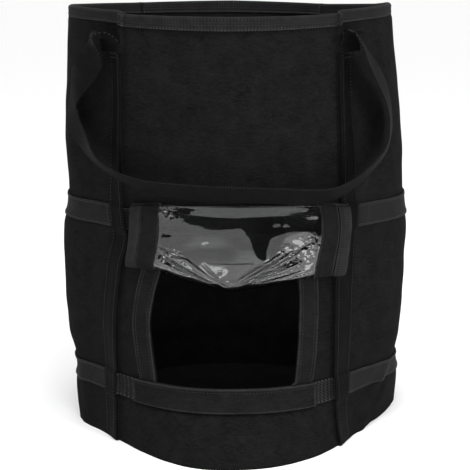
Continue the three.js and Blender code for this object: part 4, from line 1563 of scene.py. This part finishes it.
class OBJECT_OT_grow_bag_stage(bpy.types.Operator):
    """Sets up the floor, the soft light and the camera"""

    bl_idname = "object.grow_bag_stage"
    bl_label = "Studio"

    def execute(self, context):
        scene = context.scene
        bm = bmesh.new()
        bmesh.ops.create_grid(bm, x_segments=1, y_segments=1, size=60.0)
        floor = object_from(bm, "studio_floor")
        material = plain_material("studio floor", colours().floor, roughness=0.9, specular=0.1)
        floor.data.materials.append(material)

        # A dark screen round the front, as a studio has, shows in the film's reflections alone.
        bm = bmesh.new()
        edges = []
        for at in np.arange(SCREEN[0][0], SCREEN[-1][0] + 1, SCREEN_PITCH):
            row = named(SCREEN_COLUMNS, row_at(SCREEN, at))
            turn = math.radians(at)
            x, y = SCREEN_RADIUS * math.sin(turn), -SCREEN_RADIUS * math.cos(turn)
            edges.append([bm.verts.new((x, y, z)) for z in (row["foot"], row["top"])])
        for here, beyond in zip(edges, edges[1:]):
            bm.faces.new((here[0], beyond[0], beyond[1], here[1]))
        card = object_from(bm, "studio_dark_screen")
        material = plain_material("studio card", (0.01, 0.01, 0.01, 1.0), roughness=0.5, specular=0.5)
        card.data.materials.append(material)
        card.visible_camera = False
        card.visible_diffuse = False
        card.visible_shadow = False

        world = bpy.data.worlds.new("studio")
        scene.world = world
        world.use_nodes = True
        background = world.node_tree.nodes["Background"]
        background.inputs["Color"].default_value = (1.0, 1.0, 1.0, 1.0)
        background.inputs["Strength"].default_value = 1.05
        for values in LIGHTS:
            row = named(LIGHT_COLUMNS, values)
            data = bpy.data.lights.new(row["name"], "AREA")
            data.shape = "RECTANGLE"
            data.size = row["width"]
            data.size_y = row["height"]
            data.energy = row["power"]
            light = bpy.data.objects.new(row["name"], data)
            light.location = row["place"]
            light.visible_glossy = row["shows"]
            light.visible_transmission = row["shows"]
            light.visible_camera = False
            light.visible_diffuse = "floor" not in row["name"]
            aim = Vector(LIGHT_AIM) - Vector(row["place"])
            light.rotation_euler = aim.to_track_quat("-Z", "Y").to_euler()
            scene.collection.objects.link(light)

        camera_data = bpy.data.cameras.new("camera")
        camera_data.lens = SENSOR_WIDTH * PHOTO_FOCAL / PHOTO_WIDTH
        camera_data.sensor_width = SENSOR_WIDTH
        camera = bpy.data.objects.new("camera", camera_data)
        camera.location = CAMERA_PLACE
        camera.rotation_euler = (math.radians(90 - CAMERA_DIP), 0, 0)
        scene.collection.objects.link(camera)
        scene.camera = camera
        scene.view_settings.view_transform = "Standard"
        return {"FINISHED"}


class VIEW3D_PT_grow_bag(bpy.types.Panel):
    """Lists the bag's sizes, colours and building steps"""

    bl_label = "Grow Bag"
    bl_idname = "VIEW3D_PT_grow_bag"
    bl_space_type = "VIEW_3D"
    bl_region_type = "UI"
    bl_category = "Grow Bag"

    def draw(self, context):
        for group in (context.scene.grow_bag_sizes, context.scene.grow_bag_colours):
            box = self.layout.box()
            for name in group.__annotations__:
                box.prop(group, name)
        for operator in STEPS:
            self.layout.operator(operator.bl_idname)


STEPS = (
    OBJECT_OT_grow_bag_stage,
    OBJECT_OT_grow_bag_felt,
    OBJECT_OT_grow_bag_bands,
    OBJECT_OT_grow_bag_binding,
    OBJECT_OT_grow_bag_window,
    OBJECT_OT_grow_bag_flap,
    OBJECT_OT_grow_bag_handles,
    OBJECT_OT_grow_bag_stitches,
)
CLASSES = (GrowBagSizes, GrowBagColours) + STEPS + (VIEW3D_PT_grow_bag,)


def register():
    for item in CLASSES:
        bpy.utils.register_class(item)
    bpy.types.Scene.grow_bag_sizes = bpy.props.PointerProperty(type=GrowBagSizes)
    bpy.types.Scene.grow_bag_colours = bpy.props.PointerProperty(type=GrowBagColours)


def unregister():
    del bpy.types.Scene.grow_bag_colours
    del bpy.types.Scene.grow_bag_sizes
    for item in reversed(CLASSES):
        bpy.utils.unregister_class(item)


def main():
    register()
    bpy.ops.object.grow_bag_stage()
    bpy.ops.object.grow_bag_felt()
    bpy.ops.object.grow_bag_bands()
    bpy.ops.object.grow_bag_binding()
    bpy.ops.object.grow_bag_window()
    bpy.ops.object.grow_bag_flap()
    bpy.ops.object.grow_bag_handles()
    bpy.ops.object.grow_bag_stitches()


if __name__ == "__main__":
    main()
